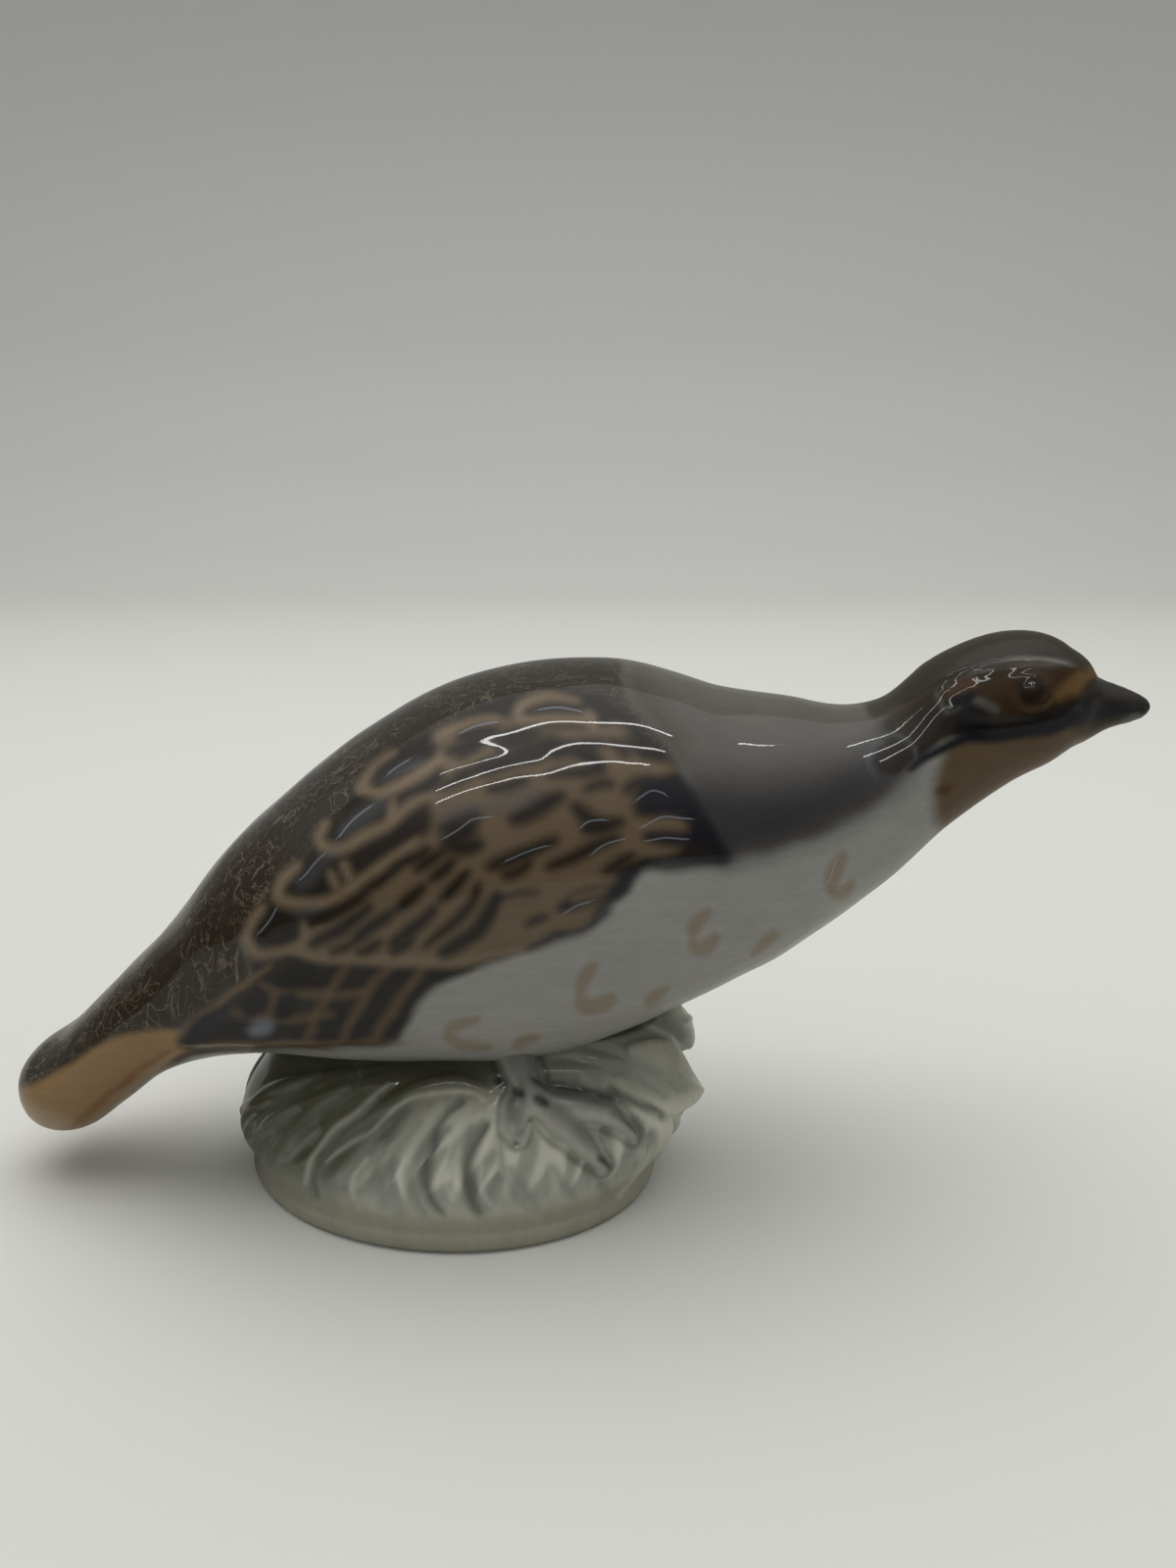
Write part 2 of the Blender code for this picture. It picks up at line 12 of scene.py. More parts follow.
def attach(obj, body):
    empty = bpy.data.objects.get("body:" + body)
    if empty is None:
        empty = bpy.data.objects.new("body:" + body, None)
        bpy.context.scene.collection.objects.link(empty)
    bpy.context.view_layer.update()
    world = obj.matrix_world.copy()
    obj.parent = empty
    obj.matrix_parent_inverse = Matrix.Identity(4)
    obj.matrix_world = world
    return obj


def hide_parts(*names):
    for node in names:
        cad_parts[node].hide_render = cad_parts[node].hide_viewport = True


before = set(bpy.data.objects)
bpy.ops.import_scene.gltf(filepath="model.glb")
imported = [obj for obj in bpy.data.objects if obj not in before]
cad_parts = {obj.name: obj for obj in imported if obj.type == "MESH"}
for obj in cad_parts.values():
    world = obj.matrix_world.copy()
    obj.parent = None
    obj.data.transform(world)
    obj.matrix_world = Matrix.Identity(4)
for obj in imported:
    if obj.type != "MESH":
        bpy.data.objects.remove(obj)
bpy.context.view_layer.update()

bl_info = {
    "name": "Porcelain Partridge",
    "version": (1, 0, 0),
    "blender": (4, 5, 0),
    "location": "View3D > Sidebar > Partridge",
    "description": "Makes a glazed porcelain partridge on a grassy base, and its studio stage",
    "category": "Add Mesh",
}

MM = 0.001

# The photograph's camera: a 1200 x 1600 picture, taken from in front and a little above.
PICTURE_WIDTH = 1200
PICTURE_HEIGHT = 1600
FOCAL_PIXELS = 1300
CAMERA_PLACE = (0.0056, -0.2551, 0.1546)
CAMERA_PITCH = math.radians(15)
SENSOR_MM = 36.0

# Strip lamps over the figurine, in metres: each draws one thin line in the glaze.
STRIP_PLACES = (
    (0.0, -0.05, 1.0),
    (0.0, -0.36, 1.0),
    (0.0, -0.62, 1.0),
)
STRIP_LENGTH = 1.0
STRIP_WIDTH = 0.02

# Body, neck and head along the spine: middle (x, z), reach up and down, half width, in millimetres.
BODY_SECTIONS = (
    (-119.4, -12.4, 0.0, 0.0, 0.0),
    (-115.6, -11.6, 6.6, 7.4, 9.0),
    (-109.8, -8.6, 9.0, 11.6, 14.0),
    (-101.5, -2.4, 8.6, 11.8, 15.5),
    (-91.0, 6.6, 9.5, 13.0, 17.0),
    (-76.0, 17.4, 12.9, 20.0, 21.0),
    (-58.0, 26.6, 23.0, 28.2, 29.0),
    (-36.0, 33.6, 33.8, 34.4, 35.5),
    (-12.0, 39.6, 41.2, 39.2, 38.0),
    (14.0, 45.0, 39.9, 35.2, 35.5),
    (38.0, 49.0, 30.2, 27.6, 28.5),
    (57.0, 54.2, 23.4, 19.2, 21.5),
    (72.5, 62.0, 15.6, 13.3, 16.5),
    (85.5, 70.2, 17.2, 12.2, 14.4),
    (96.0, 74.2, 16.6, 11.2, 13.2),
    (103.5, 75.4, 11.6, 8.4, 10.2),
    (107.4, 75.2, 5.6, 5.2, 5.6),
    (108.6, 75.4, 0.0, 0.0, 0.0),
)
BODY_FULLNESS = 2.15
BELLY_HEIGHT = 28.0
SPINE_STEP = 0.004

# Beak: x, rise over the gape, fall under it and half width.
BEAK_SECTIONS = (
    (97.0, 0.0, 0.0, 0.0),
    (100.0, 9.4, 8.6, 10.0),
    (104.0, 8.8, 8.0, 9.2),
    (106.6, 7.6, 6.8, 8.2),
    (109.4, 6.2, 5.1, 6.6),
    (112.5, 5.0, 3.9, 4.9),
    (116.0, 3.7, 3.1, 3.2),
    (119.2, 2.2, 2.0, 1.5),
    (121.0, 0.0, 0.0, 0.0),
)
GAPE_HEIGHT = 74.4
BEAK_BLEND_RUN = (101.5, 112.0)
BEAK_BLEND_PASSES = 9
GAPE_DEPTH = 0.2
GAPE_WIDTH = 10.0

# Head relief, by the spine share and the angle from the crown.
EYE_PLACE = (0.807, 67.0)
EYE_RADIUS = 2.5
EYE_SINK = 1.1
LID_LENGTH = 3.8
LID_HEIGHT = 3.0
LID_THICKNESS = 0.6
BROW_TRACK = (
    (0.748, 20.0), (0.765, 30.0), (0.78, 34.0), (0.802, 39.0), (0.83, 43.0), (0.853, 44.0),
    (0.885, 41.0),
)
BROW_RADIUS = 1.6
CHEEK_TRACK = ((0.748, 66.0), (0.765, 79.0), (0.79, 86.0), (0.825, 88.0), (0.86, 88.0), (0.89, 92.0))
CHEEK_RADIUS = 2.1
FOLD_SINK = 0.55

# Wings, as side outlines in millimetres over the belly's lowest point.
WING_RISE_ANGLES = (24.0, 58.0)
WING_FALL_RUN = (-34.0, 14.0)
WING_SUNK = 0.6
WING_EDGE = 3.2
WING_OUTLINE = (
    (-77.0, 8.6), (-75.4, 13.6), (-67.0, 20.0), (-59.0, 28.8), (-60.0, 35.0), (-54.2, 45.5),
    (-45.0, 56.0), (-34.0, 65.5), (-20.0, 71.5), (0.0, 73.5), (14.0, 71.0), (24.0, 63.0), (29.5, 53.5),
    (22.0, 50.5), (11.0, 46.0), (1.0, 40.5), (-10.0, 35.5), (-20.0, 30.0), (-27.0, 22.0), (-30.0, 15.4),
    (-42.0, 14.0), (-54.0, 12.2), (-66.0, 9.8),
)
COVERT_OUTLINE = (
    (-58.0, 33.0), (-52.6, 45.0), (-43.6, 55.0), (-33.0, 64.0), (-20.0, 70.0), (0.0, 72.0),
    (13.0, 69.5), (22.5, 62.0), (27.0, 54.5), (20.0, 51.0), (10.0, 47.0), (1.0, 42.5), (-6.0, 39.5),
    (-18.0, 36.0), (-32.0, 34.6), (-46.0, 34.4), (-54.0, 32.0),
)
FLIGHT_TRACKS = (
    ((0.293, 111.0), (0.325, 115.0), (0.358, 116.0), (0.388, 117.0), (0.413, 117.0)),
    ((0.325, 101.0), (0.348, 104.0), (0.378, 105.0), (0.403, 106.0), (0.425, 105.0)),
    ((0.353, 92.0), (0.375, 94.0), (0.395, 95.0), (0.418, 96.0), (0.438, 96.0)),
)
FLIGHT_RADIUS = 1.9
FLIGHT_LIFT = 0.45

# Base: a mound lofted through level ovals, as height, left end, right end and half depth.
# The ovals lean: their near side sits further along the bird than their far side.
BASE_SECTIONS = (
    (0.0, -66.4, 17.8, 35.3),
    (3.0, -68.2, 19.2, 36.4),
    (7.0, -69.8, 21.0, 36.8),
    (11.0, -71.2, 23.8, 36.0),
    (16.0, -70.2, 26.0, 34.0),
    (22.0, -66.8, 25.6, 31.2),
    (28.0, -61.6, 25.6, 28.2),
    (33.0, -50.0, 24.6, 24.8),
    (37.0, -34.0, 21.0, 19.6),
)
BASE_LEAN = 4.0
TURF_SLOPE = 12.0
MOUND_BOTTOM = -2.0

# Grass blades fan out from each foot, sink in where they start, and melt into the rim.
# Waves around the base vary their widths and the heights where they end.
BLADE_WIDTH_WAVE = 0.14
BLADE_WIDTH_WAVES = 11
BLADE_START_HEIGHT = 33.0
BLADE_END_HEIGHT = 7.6
BLADE_END_WAVE = 1.1
BLADE_END_WAVES = 7
BLADE_FALL = 1.45
BLADE_RISE_SHARE = 0.35
BLADE_MELT_SHARE = 0.3
BLADE_SWAY = 2.0
BLADE_SWAYS = 9.0
FAN_ANGLE = 80.0
FAN_PULL = 0.62
FAN_CURVE = 1.4

# The roll at the rim, and how much lower than the cast's blades the dressed ones end.
RIM_ROLL = 1.6
RIM_ROLL_HEIGHT = 3.4
RIM_ROLL_LIFT = -2.7
RIM_ROLL_RADIUS = 3.4

# A fold of turf that runs from each foot back and down, as x and height.
FOLD_TRACK = ((-13.0, 29.5), (-20.0, 31.0), (-27.5, 29.5), (-34.5, 26.0), (-41.0, 22.0), (-47.5, 17.0))
FOLD_RADIUS = 2.6
FOLD_LIFT = -0.2

# Leaves at the breast end: start and tip, as plan angle and height, the tip's reach and half width.
LEAVES = (
    (-50.0, 31.5, -9.0, 17.6, 5.0, 8.0),
    (-16.0, 34.0, 12.0, 29.0, 4.6, 6.0),
    (48.0, 31.0, 20.0, 17.6, 5.0, 8.0),
)
LEAF_FLATNESS = 0.3
LEAF_START_LIFT = -1.0
LEAF_FALL = 1.4
VEIN_RADIUS = 0.9
VEIN_SINK = 0.5

# Legs and toes, on the turf at x and height, from the ankle out to each claw.
LEG_RADIUS = 2.9
HIP_RADIUS = 4.0
HIP = (-10.5, 21.0, 39.0)
ANKLE = (-5.0, 28.5)
TOE_RADIUS = 2.5
TOE_LIFT = 1.1
TOE_FLATNESS = 0.85
TOE_JOINT = 0.09
TOE_JOINTS = 3
TOES = (
    ((-5.0, 28.5), (0.0, 24.0), (4.5, 19.5), (8.5, 14.5)),
    ((-4.5, 29.0), (3.0, 26.5), (9.5, 24.0), (14.8, 18.5)),
    ((-6.5, 30.0), (-8.6, 26.0), (-8.2, 22.5)),
)
LEFT_FOOT_SHIFT = 8.0

FOOT_RING_WIDTH = 6.0
FOOT_RECESS = 1.5
VENT_DEPTH = 8.5
VENT_RADIUS = 3.0

# How fine the lengths of the strands are, in rows of points.
FOLD_ROWS = 28
LEG_ROWS = 10
TOE_ROWS = 8
BLADE_ROWS = 24
RIM_ROWS = 160
RIM_TURN = (-180, 185)

# How soon a strand is at its widest, and where and how it runs out to its tip.
SWELL_PACE = 2.2
RUN_OUT_START = 0.45
RUN_OUT_CURVE = 1.4

# Rounding of the fused pieces, and the size of the cast skin's waves in millimetres.
BIRD_ROUNDING = 8
BASE_ROUNDING = 4
SKIN_WAVE = 16.0

# Limits of the sums: a gap far from any foot, the points measured at once, and next to nothing.
GAP_FAR = 99.0
POINTS_AT_ONCE = 20000
TINY = 1e-9

# Glaze: its waves and fine peel, and where it thins towards the beak, from an x over a length by a share.
WAVE_SCALE = 130.0
PEEL_SCALE = 700.0
PEEL_SHARE = 0.05
BODY_SHEEN = 0.05
GLOSS_FALL_START = 59.0
GLOSS_FALL_LENGTH = 12.0
HEAD_DULLING = 0.6

# Brushwork, as streaks across x, y and z and their turn about y, with specks over them.
BIRD_STREAKS = (90, 240, 420)
BIRD_STREAK_TURN = math.radians(35)
TURF_STREAKS = (160, 160, 60)
BRUSH_AMOUNT = 0.3
SPECK_SCALE = 4.0
SPECK_SHARE = 0.4
BRUSH_MIDDLE = 0.7

# Fine lines on the back, as two families with a turn and a scale, shown in patches.
FILAMENT_FAMILIES = ((0.5, (190, 190, 80)), (-0.9, (90, 200, 210)))
FILAMENT_WIDTH = 0.016
FILAMENT_WANDER = 1.2
FILAMENT_STRENGTH = 0.95
PATCH_SCALE = 90.0
PATCH_FLOOR = 0.34
PATCH_CONTRAST = 5.0
HAIRLINE_WIDTH = 1.3
HAIRLINE_STRENGTH = 0.42

# Rings painted round the eye: radius, red, green and blue, strength and soft edge.
EYE_RINGS = (
    (3.7, (20, 16, 12), 0.8, 1.6),
    (1.7, (50, 36, 18), 0.7, 0.8),
    (0.9, (4, 4, 5), 1.0, 0.5),
)

# Floor and backdrop, in metres: the paper's half width, its front end and its curve up behind.
PAPER_SIDE = 3.0
PAPER_FRONT = -2.0
PAPER_CURVE = ((1.1, 0.0), (1.3, 0.03), (1.5, 0.12), (1.65, 0.3), (1.72, 0.6), (1.74, 2.6))
WALL_START = 1.05
WALL_BLEND = 0.4
PAPER_ROUGHNESS = 0.8
PAPER_SHEEN = 0.1
SOFTBOX_PLACE = (0.0, 0.25, 1.1)
SOFTBOX_WIDTH = 1.7
SOFTBOX_DEPTH = 1.4
LAMP_TARGET = (0, 0, 0.06)
SKY_CURVE = 2.0
HORIZON_DULLING = 0.6

# The hand's wander in a stroke, in pixels, the size of its waves in millimetres, and points for each step.
STROKE_WANDER = 1.6
WANDER_SIZE = 11.0
WANDER_SHIFT = 0.05
TRACK_STEPS = 5
FIELD_MARGIN = 8

# Painting, in pixels of the 1200 x 1600 picture. Fields are smooth closed outlines.
BACK_FIELD = (
    (-60, 380), (560, 380), (645, 560), (640, 690), (665, 735), (690, 800), (500, 900), (300, 990),
    (215, 1035), (185, 1052), (150, 1078), (60, 1122), (-60, 1150),
)
MANTLE_STROKE = (26, (640, 690), (660, 722), (690, 765))
RUMP_FIELD = (
    (60, 980), (170, 900), (250, 850), (300, 880), (262, 960), (262, 995), (215, 1032), (150, 1052),
    (40, 1050),
)
NECK_FIELD = (
    (640, 500), (640, 690), (665, 735), (700, 800), (732, 880), (760, 873), (800, 865), (850, 845),
    (900, 815), (935, 780), (965, 755), (985, 690), (1010, 600), (900, 480),
)
NECK_LOW_FIELD = (
    (690, 812), (705, 860), (735, 880), (770, 873), (800, 865), (850, 845), (900, 815), (935, 782),
    (925, 735), (880, 765), (830, 790), (770, 796), (710, 796),
)
WING_FIELD = (
    (182, 1068), (190, 1048), (225, 1022), (258, 992), (252, 960), (285, 912), (326, 855), (368, 805),
    (400, 768), (450, 742), (520, 708), (600, 706), (645, 735), (692, 785), (712, 820), (735, 860),
    (742, 877), (700, 881), (667, 885), (647, 899), (622, 926), (600, 944), (560, 961), (520, 975),
    (457, 1000), (430, 1022), (412, 1052), (395, 1066), (300, 1071), (220, 1072),
)
TAN_FIELD = (
    (440, 812), (453, 797), (450, 770), (455, 748), (480, 740), (530, 733), (560, 745), (630, 740),
    (650, 765), (690, 785), (655, 800), (648, 830), (700, 835), (692, 868), (650, 880), (625, 888),
    (635, 905), (610, 925), (600, 942), (560, 955), (520, 964), (480, 976), (420, 982), (350, 978),
    (300, 970), (330, 945), (345, 915), (375, 895), (400, 875), (425, 858), (440, 845),
)

# Strokes on the wing: each is a width, then the points of a track.
TAN_LACES = (
    (10, (402, 767), (388, 778), (377, 790), (368, 805)),
    (14, (368, 805), (385, 807), (410, 800), (432, 787), (452, 772)),
    (13, (450, 774), (447, 757), (457, 747), (478, 740), (505, 735)),
    (
        12, (333, 840), (326, 855), (333, 865), (350, 866), (370, 855), (395, 840), (420, 822),
        (442, 812),
    ),
    (9, (400, 834), (400, 818)),
    (
        12, (303, 882), (288, 900), (285, 914), (297, 922), (320, 922), (345, 915), (375, 895),
        (400, 875), (425, 858),
    ),
    (9, (358, 898), (352, 882)),
    (9, (344, 905), (338, 892)),
    (10, (268, 925), (256, 942), (252, 960), (263, 973), (290, 971), (312, 960), (330, 945)),
    (8, (312, 958), (311, 944)),
    (11, (298, 970), (330, 976), (380, 979), (430, 981), (480, 979), (520, 970), (560, 957)),
    (13, (526, 730), (536, 719), (560, 714), (588, 716)),
    (13, (530, 735), (560, 731), (603, 732)),
    (9, (598, 727), (606, 742)),
)
DARK_CENTRES = (
    (14, (458, 768), (472, 764), (486, 760)),
    (14, (508, 762), (524, 757), (540, 754)),
    (15, (540, 773), (560, 766), (578, 760)),
    (15, (588, 768), (602, 772), (612, 781)),
    (13, (638, 757), (655, 762), (668, 769)),
    (11, (454, 801), (466, 797), (478, 792)),
    (13, (500, 806), (520, 803), (536, 797)),
    (14, (640, 806), (652, 800), (664, 796)),
    (17, (384, 796), (397, 784), (418, 772), (444, 763)),
    (15, (470, 752), (486, 748), (505, 744)),
    (14, (470, 772), (478, 765), (488, 758), (498, 752)),
    (11, (470, 792), (485, 786), (500, 777)),
    (12, (540, 726), (562, 722), (592, 723)),
    (22, (492, 787), (520, 775), (545, 765), (566, 757)),
    (14, (505, 752), (530, 748), (550, 749)),
    (17, (566, 770), (590, 762), (612, 757)),
    (13, (600, 768), (604, 780), (612, 786), (596, 786)),
    (13, (622, 757), (632, 762), (640, 771)),
    (11, (560, 790), (585, 789), (600, 790)),
    (24, (456, 858), (468, 849), (482, 843)),
    (14, (450, 846), (465, 838), (480, 832), (488, 833)),
    (20, (460, 864), (475, 864), (488, 862)),
    (20, (524, 836), (540, 829), (558, 820), (574, 812)),
    (17, (588, 822), (600, 834), (614, 842)),
    (17, (597, 847), (615, 843), (632, 838)),
    (12, (598, 806), (610, 801), (625, 800)),
    (18, (500, 884), (520, 876), (542, 868), (566, 857)),
    (13, (515, 893), (528, 890), (540, 882)),
    (15, (560, 886), (580, 876), (600, 867), (630, 855)),
    (12, (618, 890), (630, 881), (646, 873)),
    (14, (655, 769), (664, 765), (676, 771)),
)
FLIGHT_STROKES = (
    (13, (437, 866), (428, 873), (412, 880), (402, 885)),
    (13, (404, 887), (386, 900), (372, 908)),
    (15, (372, 912), (355, 923), (335, 934), (316, 943)),
    (14, (462, 878), (452, 888), (440, 898)),
    (14, (432, 906), (418, 918), (404, 929)),
    (13, (452, 868), (438, 878), (425, 889)),
    (16, (398, 932), (382, 944), (366, 956)),
    (16, (376, 926), (361, 938), (343, 951), (318, 964)),
    (10, (372, 953), (352, 967), (338, 971)),
    (14, (478, 890), (464, 905), (450, 918)),
    (15, (444, 926), (430, 940), (414, 952), (400, 963)),
    (13, (489, 903), (482, 921), (468, 936), (452, 951), (434, 966)),
    (19, (508, 914), (500, 930), (488, 948), (470, 962), (452, 973)),
    (12, (420, 958), (410, 966), (400, 972)),
    (12, (388, 962), (378, 969), (366, 973)),
)
SHOULDER_BLOTS = (
    (26, (660, 812), (680, 806), (694, 812), (703, 825)),
    (15, (655, 827), (685, 825), (712, 828)),
    (18, (660, 853), (690, 855), (722, 853)),
    (14, (700, 832), (716, 842), (728, 858), (738, 874)),
    (13, (655, 882), (680, 884), (705, 881), (738, 876)),
    (13, (646, 886), (634, 903), (626, 915)),
    (10, (540, 966), (575, 955), (600, 945), (620, 930)),
    (17, (570, 927), (595, 917), (622, 911), (640, 905)),
    (11, (538, 944), (548, 938), (560, 934)),
    (12, (512, 920), (530, 914), (548, 912)),
)
FRONT_LOOPS = (
    (9, (512, 942), (517, 926), (530, 918), (556, 916)),
    (10, (560, 925), (566, 938), (582, 944), (600, 938)),
    (8, (585, 917), (603, 913), (618, 908)),
    (10, (516, 950), (530, 958), (550, 952)),
)
# Painted sheen: lighter bluish grey strokes on the wing, where the glaze reflects the pale surroundings.
PAINTED_SHEENS = (
    (16, (350, 850), (368, 834), (390, 815)),
    (16, (305, 905), (325, 885), (345, 868)),
    (16, (392, 800), (410, 788), (430, 778)),
    (22, (500, 822), (525, 817), (545, 812)),
    (18, (452, 833), (470, 827), (492, 824)),
    (12, (322, 925), (305, 935)),
)
PRIMARY_BARS = (
    (13, (302, 1056), (312, 1046), (322, 1040)),
    (15, (328, 1056), (340, 1046), (352, 1040)),
    (15, (352, 1060), (368, 1050), (384, 1042)),
    (15, (386, 1058), (398, 1050), (408, 1044)),
    (15, (340, 1024), (352, 1016), (362, 1014)),
    (14, (366, 1032), (380, 1020), (392, 1012)),
    (16, (396, 1030), (410, 1018), (424, 1008)),
    (15, (372, 1008), (386, 996), (402, 988)),
    (15, (404, 1000), (418, 992), (436, 986)),
    (15, (440, 1000), (458, 990), (480, 984)),
    (14, (330, 996), (345, 988), (360, 984)),
    (12, (470, 984), (490, 978), (515, 973)),
)
PRIMARY_TANS = (
    (7, (265, 1004), (291, 1012), (343, 1016), (372, 1012)),
    (7, (239, 1034), (269, 1038), (306, 1040), (339, 1034)),
    (8, (281, 1015), (279, 1025), (276, 1034)),
    (8, (354, 986), (339, 1008), (324, 1034), (313, 1060)),
    (9, (398, 986), (380, 1005), (365, 1030), (350, 1060)),
    (9, (435, 984), (417, 1008), (398, 1034), (382, 1060)),
)
PRIMARY_BLACKS = (
    (17, (286, 1001), (302, 996), (318, 994)),
    (21, (255, 1032), (258, 1025), (262, 1016)),
    (21, (287, 1034), (291, 1027), (298, 1018)),
    (17, (224, 1052), (237, 1049), (252, 1049)),
)
PRIMARY_EDGE = (7, (186, 1051), (214, 1030), (240, 1011), (262, 996), (277, 985))
PRIMARY_LOW_EDGE = (6, (200, 1067), (260, 1066), (330, 1065), (400, 1061))
PRIMARY_BLUES = (
    (20, (196, 1054), (212, 1044), (228, 1034)),
    (9, (262, 1060), (275, 1055), (284, 1050)),
)
# A painted highlight on the flight feathers near the tail.
PRIMARY_SHEEN = (15, (258, 1050), (266, 1049), (274, 1047))

# Tail.
TAIL_FIELD = (
    (188, 1053), (161, 1051), (122, 1058), (101, 1066), (77, 1083), (48, 1100), (25, 1110), (0, 1122),
    (20, 1165), (96, 1170), (136, 1132), (168, 1096), (198, 1070),
)
TAIL_RIDGE = (7, (172, 1074), (138, 1095), (115, 1114), (96, 1130), (74, 1149))
TAIL_PALE_TRACK = (13, (182, 1075), (152, 1100), (126, 1122), (100, 1143), (88, 1152))
TAIL_TIP_TRACK = (16, (26, 1128), (42, 1141), (62, 1149), (84, 1152))
# The dark undertail, with painted shade where it goes behind the wing's lower edge.
UNDERTAIL_SHADE_TRACK = (7, (96, 1152), (134, 1121), (165, 1096), (198, 1074), (255, 1072))

# Feather shafts as fine lines, and marks on the belly.
HAIRLINES = (
    ((395, 790), (405, 782), (418, 775)),
    ((345, 855), (360, 838), (378, 822)),
    ((305, 897), (318, 884), (332, 872)),
    ((264, 952), (273, 941), (283, 926)),
    ((452, 855), (472, 843), (482, 836), (500, 834)),
    ((515, 878), (535, 870), (558, 863)),
    ((592, 845), (602, 838), (617, 836)),
    ((605, 870), (618, 862), (636, 856)),
    ((650, 816), (666, 808), (680, 811)),
    ((655, 843), (675, 834), (705, 835)),
    ((662, 858), (680, 854), (700, 856)),
    ((575, 932), (588, 924), (602, 920)),
    ((470, 748), (485, 741), (506, 737)),
    ((550, 724), (570, 722), (592, 725)),
    ((845, 900), (850, 888), (853, 880)),
)
BELLY_CRESCENTS = (
    (15, (862, 873), (853, 886), (848, 898), (849, 908)),
    (13, (850, 910), (858, 912), (870, 902)),
    (15, (722, 931), (711, 942), (706, 952)),
    (14, (705, 962), (716, 969), (731, 956)),
    (12, (793, 953), (780, 962), (768, 973)),
    (14, (606, 984), (597, 998), (592, 1012)),
    (18, (591, 1020), (604, 1028), (625, 1019)),
    (12, (681, 1009), (670, 1016), (660, 1024)),
    (12, (489, 1040), (470, 1045), (456, 1052)),
    (12, (455, 1056), (470, 1066), (500, 1068)),
    (11, (549, 1058), (536, 1062), (526, 1069)),
)

# Head, beak and the side of the neck.
CROWN_FIELD = (
    (905, 600), (1010, 560), (1130, 620), (1150, 690), (1112, 688), (1085, 674), (1045, 670),
    (1005, 678), (965, 694), (930, 712), (895, 735), (880, 700),
)
FACE_FIELD = (
    (905, 740), (940, 712), (985, 690), (1040, 678), (1085, 680), (1120, 684), (1118, 706), (1100, 722),
    (1070, 738), (1010, 748), (960, 756), (935, 778), (912, 770),
)
OCHRE_FIELD = (
    (1000, 700), (1030, 686), (1075, 681), (1112, 682), (1120, 694), (1100, 710), (1075, 724),
    (1035, 726), (1006, 716),
)
THROAT_FIELD = (
    (960, 776), (972, 754), (1010, 748), (1045, 744), (1075, 736), (1100, 728), (1140, 722),
    (1138, 745), (1120, 762), (1085, 788), (1040, 815), (1000, 842), (962, 852), (952, 812),
)
HIND_NECK_FIELD = ((898, 742), (925, 716), (960, 700), (972, 722), (958, 742), (942, 766), (912, 760))
BROW_STRIPES = (
    (
        6, (903, 739), (937, 711), (962, 695), (990, 685), (1016, 678), (1045, 675), (1074, 677),
        (1098, 687),
    ),
    (4, (915, 742), (945, 717), (968, 702), (994, 691), (1020, 685), (1050, 681)),
)
BROW_DARKS = (
    (4, (920, 717), (948, 701), (975, 687), (1003, 677), (1035, 670), (1070, 669), (1098, 679)),
    (3, (920, 734), (950, 708), (975, 693), (1003, 683), (1035, 679)),
)
LORE_STROKES = (
    (12, (1116, 684), (1108, 694), (1098, 706)),
    (14, (1102, 691), (1092, 701), (1080, 711)),
)
EYE_UNDER_STROKES = ((6, (1036, 704), (1040, 716), (1050, 723), (1064, 723), (1074, 716)),)
EAR_STROKES = ((25, (974, 708), (982, 706), (991, 702)),)
EAR_DARK_STROKES = ((17, (972, 715), (982, 716), (994, 710)),)
CHEEK_DARKS = (
    (8, (960, 747), (968, 733), (986, 724), (1002, 728), (1010, 742)),
    (26, (978, 742), (990, 740), (1002, 744)),
)
CHEEK_GREY_STROKES = (
    (9, (996, 714), (1006, 719), (1018, 724)),
    (5, (956, 706), (960, 718), (968, 728), (980, 722)),
)
NAVY_LINE = (
    11, (1176, 724), (1152, 725), (1128, 726), (1100, 731), (1072, 742), (1043, 748), (1014, 752),
    (987, 754), (964, 763), (945, 774), (930, 785),
)
CHEEK_NAVY = (25, (1000, 747), (1030, 745), (1060, 740), (1092, 730), (1122, 727), (1150, 727))
# A painted reflection on the side of the neck: a dark oval with a pale ring round it.
NECK_REFLECTION = (33, (906, 775), (910, 774), (914, 773))
NECK_REFLECTION_RING = (5, (893, 794), (886, 776), (895, 756), (912, 750), (930, 760), (935, 776))
NECK_DARK_STROKE = (26, (936, 752), (944, 742), (950, 728))
THROAT_SPOT = (11, (957, 808), (962, 807), (968, 803))
BEAK_FIELD = (
    (1106, 700), (1125, 690), (1150, 700), (1185, 715), (1185, 730), (1150, 728), (1120, 728),
    (1104, 722),
)
BEAK_UNDER_FIELD = (
    (1095, 735), (1125, 730), (1160, 729), (1175, 731), (1150, 742), (1125, 746), (1100, 752),
)
NOSTRIL_STROKE = (6, (1108, 712), (1116, 709), (1124, 707))

